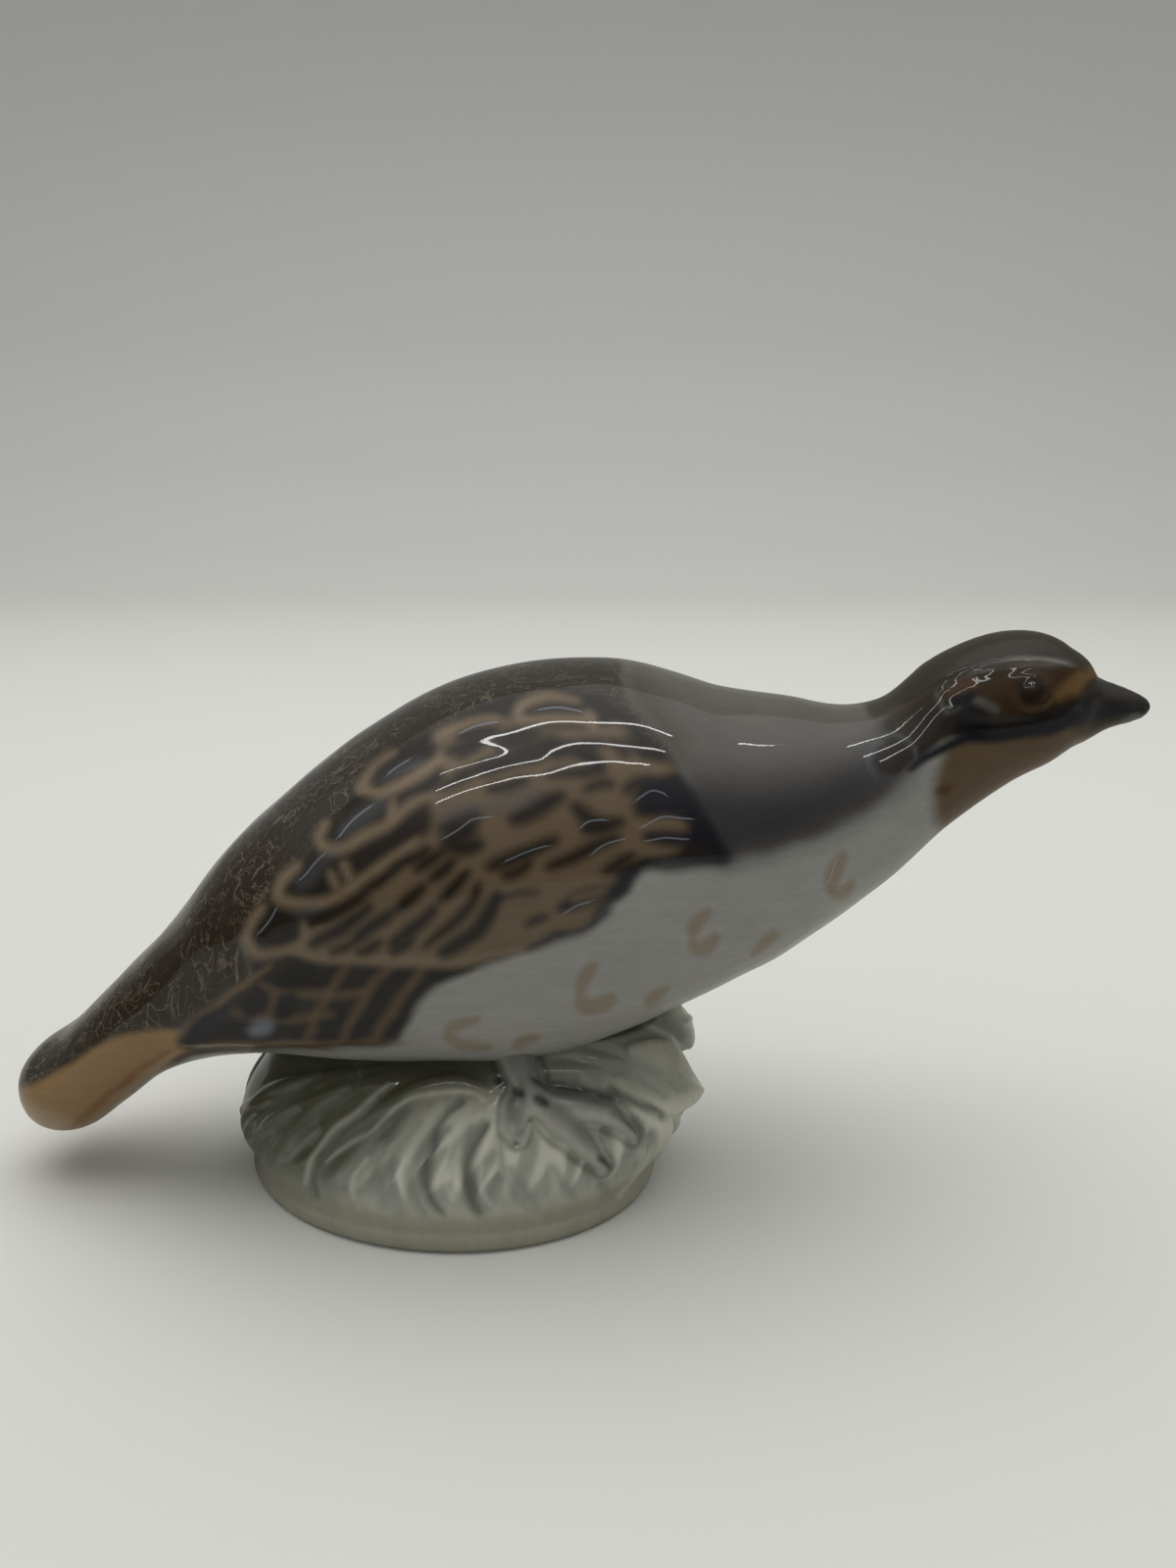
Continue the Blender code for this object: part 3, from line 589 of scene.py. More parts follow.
# Painting of the base, in the same pixels, with painted shade in its grooves and painted highlights on its
# crests.
# Olive paint with painted shadow, under the tail and belly behind the feet.
OLIVE_SHADOW_FIELD = (
    (225, 1160), (250, 1080), (340, 1065), (505, 1070), (525, 1095), (500, 1125), (450, 1128),
    (410, 1160), (370, 1200), (330, 1212), (290, 1205), (250, 1190),
)
LEAF_SHADE_FIELD = (
    (545, 1085), (620, 1050), (695, 1035), (716, 1106), (694, 1122), (640, 1122), (590, 1118),
    (550, 1108),
)
DEEP_GROOVES = (
    (7, (323, 1098), (290, 1121), (267, 1140), (256, 1160)),
    (7, (362, 1090), (358, 1108), (332, 1130), (313, 1150), (290, 1182)),
    (9, (300, 1134), (277, 1156), (263, 1176), (261, 1189)),
    (9, (381, 1124), (355, 1150), (332, 1179), (319, 1202), (322, 1222)),
    (12, (407, 1134), (378, 1147), (349, 1169)),
    (9, (417, 1130), (401, 1150), (388, 1163)),
    (9, (472, 1124), (453, 1140), (440, 1173), (433, 1199), (440, 1225), (450, 1238)),
    (14, (495, 1147), (482, 1166), (477, 1186), (479, 1205), (482, 1225), (489, 1238)),
    (12, (545, 1101), (580, 1109), (632, 1119), (674, 1138)),
)
SOFT_GROOVES = (
    (12, (323, 1153), (300, 1169), (288, 1186)),
    (9, (384, 1153), (368, 1179), (352, 1199), (339, 1212), (336, 1228)),
    (12, (388, 1173), (386, 1199), (388, 1218), (393, 1232)),
    (9, (427, 1147), (407, 1173), (398, 1199), (401, 1222), (408, 1239)),
    (11, (446, 1147), (427, 1179), (420, 1205), (424, 1225), (433, 1242)),
    (8, (482, 1150), (463, 1173), (458, 1195)),
    (9, (509, 1203), (502, 1218), (496, 1238)),
    (9, (508, 1160), (511, 1186), (518, 1205), (528, 1222), (538, 1236)),
    (9, (521, 1192), (534, 1212), (548, 1236)),
    (10, (563, 1192), (574, 1208), (586, 1224)),
    (9, (600, 1196), (612, 1208), (622, 1220)),
    (9, (567, 1081), (609, 1085), (648, 1098), (680, 1118)),
    (8, (599, 1068), (641, 1081), (680, 1101), (700, 1111)),
    (8, (674, 1026), (690, 1046), (703, 1069)),
    (9, (628, 1137), (648, 1150), (658, 1168)),
    (8, (640, 1182), (652, 1172), (664, 1156)),
)
# Painted highlights along the crests of the grass; the crests are also raised a little.
CREST_HIGHLIGHTS = (
    (3, (495, 1124), (482, 1116), (453, 1115), (420, 1121), (394, 1139), (365, 1162), (330, 1185)),
    (3, (397, 1106), (365, 1132), (336, 1159), (318, 1182), (312, 1208)),
    (3, (651, 1041), (680, 1055), (703, 1078)),
    (3, (500, 1130), (538, 1144), (566, 1162), (588, 1180)),
    (3, (412, 1180), (407, 1200), (413, 1222)),
    (3, (462, 1186), (455, 1206), (463, 1224)),
    (3, (492, 1190), (491, 1212), (500, 1230)),
    (3, (375, 1184), (360, 1204), (362, 1222)),
    (3, (630, 1222), (648, 1200), (668, 1172)),
)
FOOT_SPOTS = (
    (9, (508, 1102), (511, 1104), (515, 1107)),
    (9, (525, 1113), (529, 1115), (533, 1118)),
    (10, (547, 1122), (552, 1124), (558, 1126)),
    (7, (612, 1183), (617, 1186), (622, 1190)),
)

# How deep the grooves are carved and the crests drawn up, and where painted shade follows depth, in
# millimetres.
GROOVE_CARVING = -0.8
DEEP_CARVING = -1.04
CREST_RISE = 0.3
GROOVE_DEPTH = 0.2
GROOVE_RISE = 1.5
RIM_HEIGHT = 7.0
RIM_FADE = 5.0
TOE_EDGE = 1.2
TOE_STREAK = 1.3


def ease(value):
    """A smooth step from 0 to 1, for numbers or arrays."""
    value = np.clip(value, 0.0, 1.0)
    return value * value * (3 - 2 * value)


def smooth_rows(rows, share):
    """Rows of a table at shares from 0 to 1, on a smooth curve through all rows."""
    table = np.array(rows, float)
    place = np.clip(np.asarray(share, float), 0, 1) * (len(table) - 1)
    first = np.minimum(place.astype(int), len(table) - 2)
    step = (place - first)[..., None]
    here, after = table[first], table[first + 1]
    leave = (after - table[np.maximum(first - 1, 0)]) / 2
    arrive = (table[np.minimum(first + 2, len(table) - 1)] - here) / 2
    return (
        here * (2 * step**3 - 3 * step**2 + 1)
        + leave * (step**3 - 2 * step**2 + step)
        + after * (3 * step**2 - 2 * step**3)
        + arrive * (step**3 - step**2)
    )


def through(track, count):
    """Evenly many points on a smooth curve through a short track."""
    return smooth_rows(track, np.linspace(0, 1, count))


def around_loop(outline, steps=4):
    """Points on a smooth closed curve through an outline."""
    wrapped = (outline[-1], *outline, outline[0], outline[1])
    spans = len(wrapped) - 1
    shares = np.linspace(1, len(outline) + 1, steps * len(outline), endpoint=False) / spans
    return smooth_rows(wrapped, shares)


def rounded(value, fullness):
    """A sine or cosine bent towards a squarer oval."""
    return np.sign(value) * np.abs(value) ** (2 / fullness)


def skin(shares, degrees, side, grow=0.0):
    """Points of the bird's skin at spine shares and angles from the ridge of the back, in millimetres."""
    shares, degrees = np.atleast_1d(shares).astype(float), np.atleast_1d(degrees).astype(float)
    x, z, up, down, half = smooth_rows(BODY_SECTIONS, shares).T
    ahead = smooth_rows(BODY_SECTIONS, shares + SPINE_STEP)
    behind = smooth_rows(BODY_SECTIONS, shares - SPINE_STEP)
    run_x, run_z = ahead[:, 0] - behind[:, 0], ahead[:, 1] - behind[:, 1]
    run = np.hypot(run_x, run_z)
    rise = rounded(np.cos(np.radians(degrees)), BODY_FULLNESS)
    reach = rise * np.maximum(np.where(rise > 0, up, down) + grow, 0)
    across = side * rounded(np.sin(np.radians(degrees)), BODY_FULLNESS) * np.maximum(half + grow, 0)
    return np.stack([x - run_z / run * reach, across, z + BELLY_HEIGHT + run_x / run * reach], axis=1)


def outline_depth(x, y, outline, steps=4):
    """How far inside a smooth closed outline each point is; negative outside it."""
    start = around_loop(outline, steps)
    span = np.roll(start, -1, axis=0) - start
    size = np.maximum((span**2).sum(axis=1), TINY)
    depth = np.empty(len(x))
    for low in range(0, len(x), POINTS_AT_ONCE):
        part = slice(low, low + POINTS_AT_ONCE)
        from_x = x[part, None] - start[None, :, 0]
        from_y = y[part, None] - start[None, :, 1]
        along = np.clip((from_x * span[:, 0] + from_y * span[:, 1]) / size, 0, 1)
        gap = np.hypot(from_x - along * span[:, 0], from_y - along * span[:, 1]).min(axis=1)
        rise = np.where(np.abs(span[:, 1]) < TINY, TINY, span[:, 1])
        crosses = ((from_y < 0) != (from_y - span[:, 1] < 0)) & (from_x < span[:, 0] * from_y / rise)
        depth[part] = np.where(crosses.sum(axis=1) % 2 == 1, gap, -gap)
    return depth


def track_gap(x, y, points, radii):
    """The gap from each point to a bar of changing radius along a track; negative inside it."""
    start, span = points[:-1], np.diff(points, axis=0)
    size = np.maximum((span**2).sum(axis=1), TINY)
    from_x = x[:, None] - start[None, :, 0]
    from_y = y[:, None] - start[None, :, 1]
    along = np.clip((from_x * span[:, 0] + from_y * span[:, 1]) / size, 0, 1)
    gap = np.hypot(from_x - along * span[:, 0], from_y - along * span[:, 1])
    return (gap - radii[:-1] - along * np.diff(radii)).min(axis=1)


def taper(count, radius, tip=0.35, start=0.7):
    """Radii that swell from the start to the middle and run out to the tip."""
    shares = np.linspace(0, 1, count)
    swell = start + (1 - start) * np.sin(np.minimum(shares * SWELL_PACE, 1) * math.pi / 2)
    past = np.clip((shares - RUN_OUT_START) / (1 - RUN_OUT_START), 0, 1)
    run_out = 1 - (1 - tip) * past**RUN_OUT_CURVE
    return radius * swell * run_out


def add_ball(bm, around, along, shape):
    """A sphere added to a bmesh, whose points a function moves from the unit ball into millimetres."""
    ball_bm = bmesh.new()
    bmesh.ops.create_uvsphere(ball_bm, u_segments=around, v_segments=along, radius=1)
    places = shape(np.array([vert.co[:] for vert in ball_bm.verts])) * MM
    mesh = bpy.data.meshes.new("ball")
    ball_bm.to_mesh(mesh)
    ball_bm.free()
    mesh.vertices.foreach_set("co", places.ravel())
    bm.from_mesh(mesh)
    bpy.data.meshes.remove(mesh)


def strand(bm, points, radii, outward=(0, 0, 1), flat=1.0, sides=12):
    """A closed bar: a sphere whose rows follow points in millimetres, flattened along outward."""
    rows = len(points)
    points = np.array([tuple(point) for point in points])

    def shape(ball):
        row = np.round(np.arccos(np.clip(-ball[:, 2], -1, 1)) / math.pi * (rows + 1)).astype(int)
        here = np.clip(row, 1, rows) - 1
        run = points[np.minimum(here + 1, rows - 1)] - points[np.maximum(here - 1, 0)]
        run /= np.linalg.norm(run, axis=1)[:, None]
        across = np.cross(run, np.broadcast_to(np.array(outward, float), points.shape)[here])
        across /= np.linalg.norm(across, axis=1)[:, None]
        turn = np.arctan2(ball[:, 1], ball[:, 0])[:, None]
        spoke = across * np.cos(turn) + np.cross(across, run) * np.sin(turn) * flat
        for pole, reach in ((0, -flat), (rows + 1, flat)):
            spoke[row == pole] = run[row == pole] * reach
        return points[here] + spoke * np.array(radii)[here][:, None]

    add_ball(bm, sides, rows + 1, shape)


def mesh_object(name, bm):
    """An object made from a bmesh, and linked to the scene."""
    mesh = bpy.data.meshes.new(name)
    bm.to_mesh(mesh)
    bm.free()
    obj = bpy.data.objects.new(name, mesh)
    bpy.context.scene.collection.objects.link(obj)
    return obj


def applied(obj):
    """The object with its modifiers made part of its mesh."""
    bpy.context.view_layer.update()
    graph = bpy.context.evaluated_depsgraph_get()
    mesh = bpy.data.meshes.new_from_object(obj.evaluated_get(graph))
    obj.modifiers.clear()
    old = obj.data
    obj.data = mesh
    bpy.data.meshes.remove(old)
    mesh.name = obj.name
    return obj


def fused(obj, grid, passes):
    """The object's pieces fused on a grid and smoothed, as glaze rounds them."""
    fuse = obj.modifiers.new("fuse", "REMESH")
    fuse.mode = "VOXEL"
    fuse.voxel_size = grid
    rounding = obj.modifiers.new("rounding", "SMOOTH")
    rounding.factor = 0.5
    rounding.iterations = passes
    return applied(obj)


def read_places(mesh):
    """Every vertex's place, in metres."""
    places = np.empty(len(mesh.vertices) * 3)
    mesh.vertices.foreach_get("co", places)
    return places.reshape(-1, 3)


def push_out(mesh, heights):
    """Every vertex moved along its normal by its own height in millimetres."""
    normals = np.empty(len(mesh.vertices) * 3)
    mesh.vertices.foreach_get("normal", normals)
    places = read_places(mesh) + normals.reshape(-1, 3) * heights[:, None] * MM
    mesh.vertices.foreach_set("co", places.ravel())
    mesh.update()


def ripples(places, size):
    """Smooth uneven waves of about a size in millimetres, from -1 to 1."""
    x, y, z = places.T / (size * MM) * 2 * math.pi
    return (
        np.sin(x + 0.7 * y + 1.3 * np.sin(0.6 * z + 1.0))
        + np.sin(0.8 * y - z + 1.1 * np.sin(0.7 * x + 2.0))
        + np.sin(1.1 * z + 0.5 * x + 1.2 * np.sin(0.5 * y + 4.0))
    ) / 3


def store_colour(mesh, name, colours):
    """A colour kept at every vertex, for the material to read."""
    layer = mesh.attributes.new(name, "FLOAT_COLOR", "POINT")
    rows = np.ones((len(colours), 4))
    rows[:, :3] = colours
    layer.data.foreach_set("color", rows.ravel())


def store_number(mesh, name, numbers):
    """A number kept at every vertex, for the material to read."""
    layer = mesh.attributes.new(name, "FLOAT", "POINT")
    layer.data.foreach_set("value", np.asarray(numbers, float))


class Canvas:
    """Underglaze painting laid on a mesh from the side, the same on both sides of the bird."""

    def __init__(self, places, colour):
        x, y, z = places.T
        ahead = -np.abs(y) - CAMERA_PLACE[1]
        rise = z - CAMERA_PLACE[2]
        forward = ahead * math.cos(CAMERA_PITCH) - rise * math.sin(CAMERA_PITCH)
        up = ahead * math.sin(CAMERA_PITCH) + rise * math.cos(CAMERA_PITCH)
        self.across = PICTURE_WIDTH / 2 + FOCAL_PIXELS * (x - CAMERA_PLACE[0]) / forward
        self.down = PICTURE_HEIGHT / 2 - FOCAL_PIXELS * up / forward
        mirrored = np.stack([x, -np.abs(y), z], axis=1)
        self.across += STROKE_WANDER * ripples(mirrored, WANDER_SIZE)
        self.down += STROKE_WANDER * ripples(mirrored + WANDER_SHIFT, WANDER_SIZE)
        self.colours = np.tile(np.array(colour, float), (len(x), 1))
        self.relief = np.zeros(len(x))

    def near(self, points, margin):
        """The vertices that lie in the points' own box, with a margin round it."""
        low, high = points.min(axis=0) - margin, points.max(axis=0) + margin
        return np.flatnonzero(
            (self.across > low[0]) & (self.across < high[0]) & (self.down > low[1]) & (self.down < high[1])
        )

    def lay(self, chosen, mask, colour, relief=None):
        """A colour and a relief laid on chosen vertices by a mask."""
        if colour is not None:
            self.colours[chosen] += (np.array(colour, float) - self.colours[chosen]) * mask[:, None]
        if relief is not None:
            self.relief[chosen] += (relief - self.relief[chosen]) * mask

    def inside(self, outline, edge):
        """How much each vertex lies inside an outline, soft over its edge."""
        return ease(outline_depth(self.across, self.down, outline, 2) / edge + 0.5)

    def wash(self, mask, colour, strength=1.0):
        """A colour over the whole mesh, by a mask."""
        self.lay(slice(None), mask * strength, colour)

    def field(self, outline, colour, edge=10.0, strength=1.0, relief=None):
        """A smooth closed patch, soft over its edge."""
        chosen = self.near(np.array(outline, float), edge + FIELD_MARGIN)
        depth = outline_depth(self.across[chosen], self.down[chosen], outline, steps=3)
        self.lay(chosen, ease(depth / edge + 0.5) * strength, colour, relief)

    def strokes(self, rows, colour, edge=7.0, strength=1.0, relief=None, tip=0.45):
        """Brush strokes, each a width and a track, thinner at both ends."""
        for width, *track in rows:
            points = through(track, TRACK_STEPS * len(track))
            shares = np.linspace(0, 1, len(points))
            radii = width / 2 * (tip + (1 - tip) * np.sin(shares * math.pi) ** 0.5)
            chosen = self.near(points, edge + width)
            gap = track_gap(self.across[chosen], self.down[chosen], points, radii)
            self.lay(chosen, ease(0.5 - gap / edge) * strength, colour, relief)

    def hairlines(self, tracks, reach=9.0, margin=2, fade=4):
        """Signed offsets from the nearest fine line, and how near its ends and sides are."""
        offset, show = np.full(len(self.across), reach), np.zeros(len(self.across))
        for track in tracks:
            points = through(track, TRACK_STEPS * len(track))
            chosen = self.near(points, reach)
            x, y = self.across[chosen], self.down[chosen]
            gap = track_gap(x, y, points, np.zeros(len(points)))
            nearest = np.hypot(x[:, None] - points[:, 0], y[:, None] - points[:, 1]).argmin(axis=1)
            before = points[np.maximum(nearest - 1, 0)]
            after = points[np.minimum(nearest + 1, len(points) - 1)]
            run = after - before
            side = np.sign(run[:, 0] * (y - before[:, 1]) - run[:, 1] * (x - before[:, 0]))
            closer = gap < np.abs(offset[chosen])
            offset[chosen[closer]] = (gap * side)[closer]
            show[chosen[closer]] = ease((reach - margin - gap) / fade)[closer]
        return offset, show


def paint(red, green, blue):
    """A paint's colour picked in 0 to 255 numbers, as the linear values Blender mixes."""
    shares = [value / 255 for value in (red, green, blue)]
    return tuple(
        share / 12.92 if share <= 0.04045 else ((share + 0.055) / 1.055) ** 2.4
        for share in shares
    )


def paint_prop(name, description, red, green, blue):
    """A paint that a user can change."""
    return FloatVectorProperty(
        name=name,
        description=description,
        default=paint(red, green, blue),
        size=3,
        min=0.0,
        max=1.0,
        subtype="COLOR",
    )


def length_prop(name, description, millimetres):
    """A length that a user can change, written in millimetres."""
    return FloatProperty(
        name=name, description=description, default=millimetres * MM, unit="LENGTH", precision=5
    )


def amount_prop(name, description, amount, **settings):
    """An amount that a user can change, from 0 up."""
    return FloatProperty(name=name, description=description, default=amount, min=0, **settings)


def count_prop(name, description, count):
    """A count of blades that a user can change."""
    return IntProperty(name=name, description=description, default=count, min=8)


class PartridgePaints(bpy.types.PropertyGroup):
    """Underglaze colours of the bird and its base, with painted sheen, highlights, reflections and shade
    among them.
    """

    ivory: paint_prop("Ivory", "Breast and belly", 146, 145, 140)
    slate: paint_prop("Slate", "Top of the neck", 90, 87, 81)
    deep_slate: paint_prop("Deep slate", "Neck above the breast", 51, 50, 52)
    back: paint_prop("Back", "Back feathers", 53, 49, 42)
    rump: paint_prop("Rump", "Rump and the root of the tail", 44, 35, 25)
    mantle: paint_prop("Mantle", "Between the back and the neck", 60, 50, 40)
    tan: paint_prop("Tan", "Feather edges on the wing", 104, 89, 68)
    # A lighter copy of the tan: the laces' own colour, and partly a painted sheen on the upper wing.
    lit_tan: paint_prop("Light tan", "Broad edges of the upper wing", 118, 102, 80)
    tan_dim: paint_prop("Dim tan", "Bars of the flight feathers", 98, 80, 56)
    umber: paint_prop("Umber", "Dark feather centres", 34, 28, 21)
    ink: paint_prop("Ink", "Darkest marks", 12, 11, 12)
    navy: paint_prop("Navy", "Blue-black marks", 20, 21, 30)
    # Painted reflection: the bluish grey sheen on the wing and the pale ring of the reflection on the
    # neck.
    reflection_grey: paint_prop("Haze", "Bluish grey bloom on the wing", 84, 86, 88)
    tail: paint_prop("Tail", "Tail's tan", 141, 113, 77)
    tail_ridge: paint_prop("Tail ridge", "Line along the tail", 118, 80, 46)
    tail_pale: paint_prop("Pale tail", "Edge and tip of the tail", 158, 138, 112)
    crown: paint_prop("Crown", "Top of the head", 56, 52, 45)
    ochre: paint_prop("Ochre", "Around the eye", 54, 37, 14)
    rust: paint_prop("Rust", "Under the eye and the upper ear", 72, 50, 26)
    lore: paint_prop("Lores", "Between the eye and the beak", 110, 85, 53)
    face: paint_prop("Face", "Cheeks and hind neck", 36, 30, 20)
    throat: paint_prop("Throat", "Throat", 90, 75, 55)
    beak: paint_prop("Beak", "Upper beak", 54, 51, 46)
    crescent: paint_prop("Crescent", "Marks on the belly", 128, 110, 88)
    # This paint also lays the painted highlight on the flight feathers.
    hairline: paint_prop("Hairline", "Fine pale feather shafts", 150, 158, 170)
    filament: paint_prop("Filament", "Fine lines on the back", 104, 94, 79)
    turf: paint_prop("Turf", "Grass", 204, 203, 188)
    # Paints the highlights along the crests of the grass.
    turf_highlight: paint_prop("Light turf", "Crests of the grass", 224, 224, 210)
    turf_shade: paint_prop("Turf shade", "Grooves of the grass", 134, 137, 128)
    # Paints the shade in the deepest grooves and round the toes.
    deep_shade: paint_prop("Deep turf", "Deepest grooves", 46, 48, 34)
    rim: paint_prop("Rim", "Foot of the base", 154, 152, 135)
    # Olive that also paints the shadow under the bird and the shade by the leaves.
    olive_shadow: paint_prop("Olive", "Shaded grass", 66, 66, 46)
    foot: paint_prop("Foot", "Legs and toes", 110, 112, 112)


class PartridgeSizes(bpy.types.PropertyGroup):
    """Sizes of the dressed figurine."""

    bird_grid: length_prop("Bird grid", "Fineness of the bird's skin", 0.79)
    turf_grid: length_prop("Turf grid", "Fineness of the base's skin", 0.5)
    wing_relief: length_prop("Wing relief", "How far the folded wing stands out", 1.5)
    covert_relief: length_prop("Covert relief", "How far the upper wing stands out", 2.5)
    ripple: length_prop("Ripple", "Unevenness of the cast skin", 0.07)
    blade_count: count_prop("Blades", "Broad blades around the base", 42)
    fine_blade_count: count_prop("Fine blades", "Thin blades around the base", 84)
    blade_radius: length_prop("Blade radius", "Thickness of a broad blade", 2.4)
    fine_blade_radius: length_prop("Fine blade radius", "Thickness of a thin blade", 0.8)
    blade_lift: length_prop("Blade lift", "Height of a broad blade's middle over the turf", -0.9)
    fine_blade_lift: length_prop("Fine blade lift", "Height of a thin blade's middle over the turf", 0.2)


class PartridgeGlaze(bpy.types.PropertyGroup):
    """Finish of the glaze."""

    gloss: amount_prop("Gloss", "Weight of the glaze", 0.45, max=1, subtype="FACTOR")
    blur: amount_prop("Blur", "Roughness of the glaze", 0.03, max=1, subtype="FACTOR")
    under_blur: amount_prop("Body blur", "Roughness under the glaze", 0.55, max=1, subtype="FACTOR")
    ripple_height: length_prop("Ripple height", "Height of the glaze's waves", 0.04)


class PartridgeStage(bpy.types.PropertyGroup):
    """Floor, backdrop and lamps."""

    floor: paint_prop("Floor", "Floor and backdrop", 214, 214, 208)
    wall: paint_prop("Wall", "Upper backdrop", 205, 206, 204)
    wall_glow: amount_prop("Wall glow", "Light the camera adds to the backdrop", 0.1)
    sky: amount_prop("Sky", "Soft light from the horizon", 0.16)
    zenith: amount_prop("Zenith", "Soft light added overhead", 0.75)
    overhead: amount_prop("Overhead", "Power of the soft box", 11.0, unit="POWER")
    strip: amount_prop("Strip", "Power of each strip seen in the glaze", 2.0, unit="POWER")


def node(tree, kind, inputs=None, **settings):
    """A node with its settings, and its inputs given as values or as sockets to link."""
    made = tree.nodes.new(kind)
    for name, value in settings.items():
        setattr(made, name, value)
    for name, value in (inputs or {}).items():
        socket = made.inputs[name]
        if isinstance(value, bpy.types.NodeSocket):
            tree.links.new(value, socket)
        else:
            socket.default_value = value
    return made


def maths(tree, operation, first, second=0.0, clamp=False):
    """The outcome of a sum between two numbers or sockets."""
    inputs = {0: first, 1: second}
    return node(tree, "ShaderNodeMath", inputs, operation=operation, use_clamp=clamp).outputs[0]


def noise(tree, place, scale, **settings):
    """A noise over a place, as a number about 0.5."""
    inputs = {"Vector": place, "Scale": scale, **settings}
    return node(tree, "ShaderNodeTexNoise", inputs).outputs["Fac"]


def attribute(tree, name, output="Fac"):
    """A number or colour kept at the vertices."""
    return node(tree, "ShaderNodeAttribute", attribute_name=name).outputs[output]


def place_parts(tree, output="Object"):
    """The x, y and z of a texture coordinate."""
    place = node(tree, "ShaderNodeTexCoord").outputs[output]
    return node(tree, "ShaderNodeSeparateXYZ", {0: place}).outputs


def mixed(tree, factor, first, second, blend="MIX"):
    """Two colours mixed by a factor."""
    made = node(tree, "ShaderNodeMix", data_type="RGBA", blend_type=blend)
    for place, value in ((0, factor), (6, first), (7, second)):
        if isinstance(value, bpy.types.NodeSocket):
            tree.links.new(value, made.inputs[place])
        else:
            made.inputs[place].default_value = value
    return made.outputs[2]


def new_group(name, inputs, outputs):
    """A shader node group with its sockets, its input node and its output node."""
    tree = bpy.data.node_groups.new(name, "ShaderNodeTree")
    for label, kind, value in inputs:
        socket = tree.interface.new_socket(label, in_out="INPUT", socket_type=kind)
        if value is not None:
            socket.default_value = value
    for label, kind in outputs:
        tree.interface.new_socket(label, in_out="OUTPUT", socket_type=kind)
    return tree, tree.nodes.new("NodeGroupInput"), tree.nodes.new("NodeGroupOutput")


def brushwork_group():
    """Streaks and specks that brushing leaves in a colour."""
    tree, given, result = new_group(
        "brushwork",
        (
            ("Color", "NodeSocketColor", (0.5, 0.5, 0.5, 1)),
            ("Vector", "NodeSocketVector", None),
            ("Amount", "NodeSocketFloat", BRUSH_AMOUNT),
        ),
        (("Color", "NodeSocketColor"),),
    )
    streak = noise(tree, given.outputs["Vector"], 1.0, Detail=4.0, Roughness=0.6)
    speck = noise(tree, given.outputs["Vector"], SPECK_SCALE, Detail=2.0)
    both = maths(tree, "ADD", streak, maths(tree, "MULTIPLY", speck, SPECK_SHARE))
    off = maths(tree, "MULTIPLY", maths(tree, "SUBTRACT", both, BRUSH_MIDDLE), given.outputs["Amount"])
    level = maths(tree, "ADD", off, 1.0)
    grey = node(tree, "ShaderNodeCombineColor", {"Red": level, "Green": level, "Blue": level})
    shaded = mixed(tree, 1.0, given.outputs["Color"], grey.outputs["Color"], "MULTIPLY")
    tree.links.new(shaded, result.inputs["Color"])
    return tree


def glaze_group():
    """Low waves of a flowed glaze, with a little orange peel, as a height in metres."""
    tree, given, result = new_group(
        "glaze_waves",
        (("Vector", "NodeSocketVector", None), ("Height", "NodeSocketFloat", 0.00005)),
        (("Height", "NodeSocketFloat"),),
    )
    wave = noise(tree, given.outputs["Vector"], WAVE_SCALE, Detail=1.0)
    peel = noise(tree, given.outputs["Vector"], PEEL_SCALE, Detail=1.0)
    total = maths(tree, "ADD", wave, maths(tree, "MULTIPLY", peel, PEEL_SHARE))
    tree.links.new(maths(tree, "MULTIPLY", total, given.outputs["Height"]), result.inputs["Height"])
    return tree


def group_node(tree, name, build):
    """A shader node group placed in a material, built the first time it is used."""
    return node(tree, "ShaderNodeGroup", node_tree=bpy.data.node_groups.get(name) or build())


def dulled_gloss(tree, gloss):
    """A gloss that falls towards the beak, where the painted head has less shine."""
    past = maths(tree, "SUBTRACT", place_parts(tree)["X"], GLOSS_FALL_START * MM)
    head = maths(tree, "DIVIDE", past, GLOSS_FALL_LENGTH * MM, clamp=True)
    dulled = maths(tree, "SUBTRACT", 1.0, maths(tree, "MULTIPLY", head, HEAD_DULLING))
    return maths(tree, "MULTIPLY", dulled, gloss)


def glazed(name, colour_nodes, dull_head=False):
    """A glazed ceramic material, whose colour a function builds from the tree and its coordinates."""
    glaze = bpy.context.scene.partridge_glaze
    material = bpy.data.materials.new(name)
    material.use_nodes = True
    tree = material.node_tree
    shader = tree.nodes["Principled BSDF"]
    place = node(tree, "ShaderNodeTexCoord").outputs["Object"]
    tree.links.new(colour_nodes(tree, place), shader.inputs["Base Color"])
    shader.inputs["Roughness"].default_value = glaze.under_blur
    shader.inputs["Specular IOR Level"].default_value = BODY_SHEEN
    shader.inputs["Coat Weight"].default_value = glaze.gloss
    if dull_head:
        tree.links.new(dulled_gloss(tree, glaze.gloss), shader.inputs["Coat Weight"])
    shader.inputs["Coat Roughness"].default_value = glaze.blur
    waves = group_node(tree, "glaze_waves", glaze_group)
    tree.links.new(place, waves.inputs["Vector"])
    waves.inputs["Height"].default_value = glaze.ripple_height
    height = {"Height": waves.outputs["Height"], "Strength": 1.0, "Distance": 1.0}
    bumped = node(tree, "ShaderNodeBump", height).outputs["Normal"]
    tree.links.new(bumped, shader.inputs["Normal"])
    tree.links.new(bumped, shader.inputs["Coat Normal"])
    return material


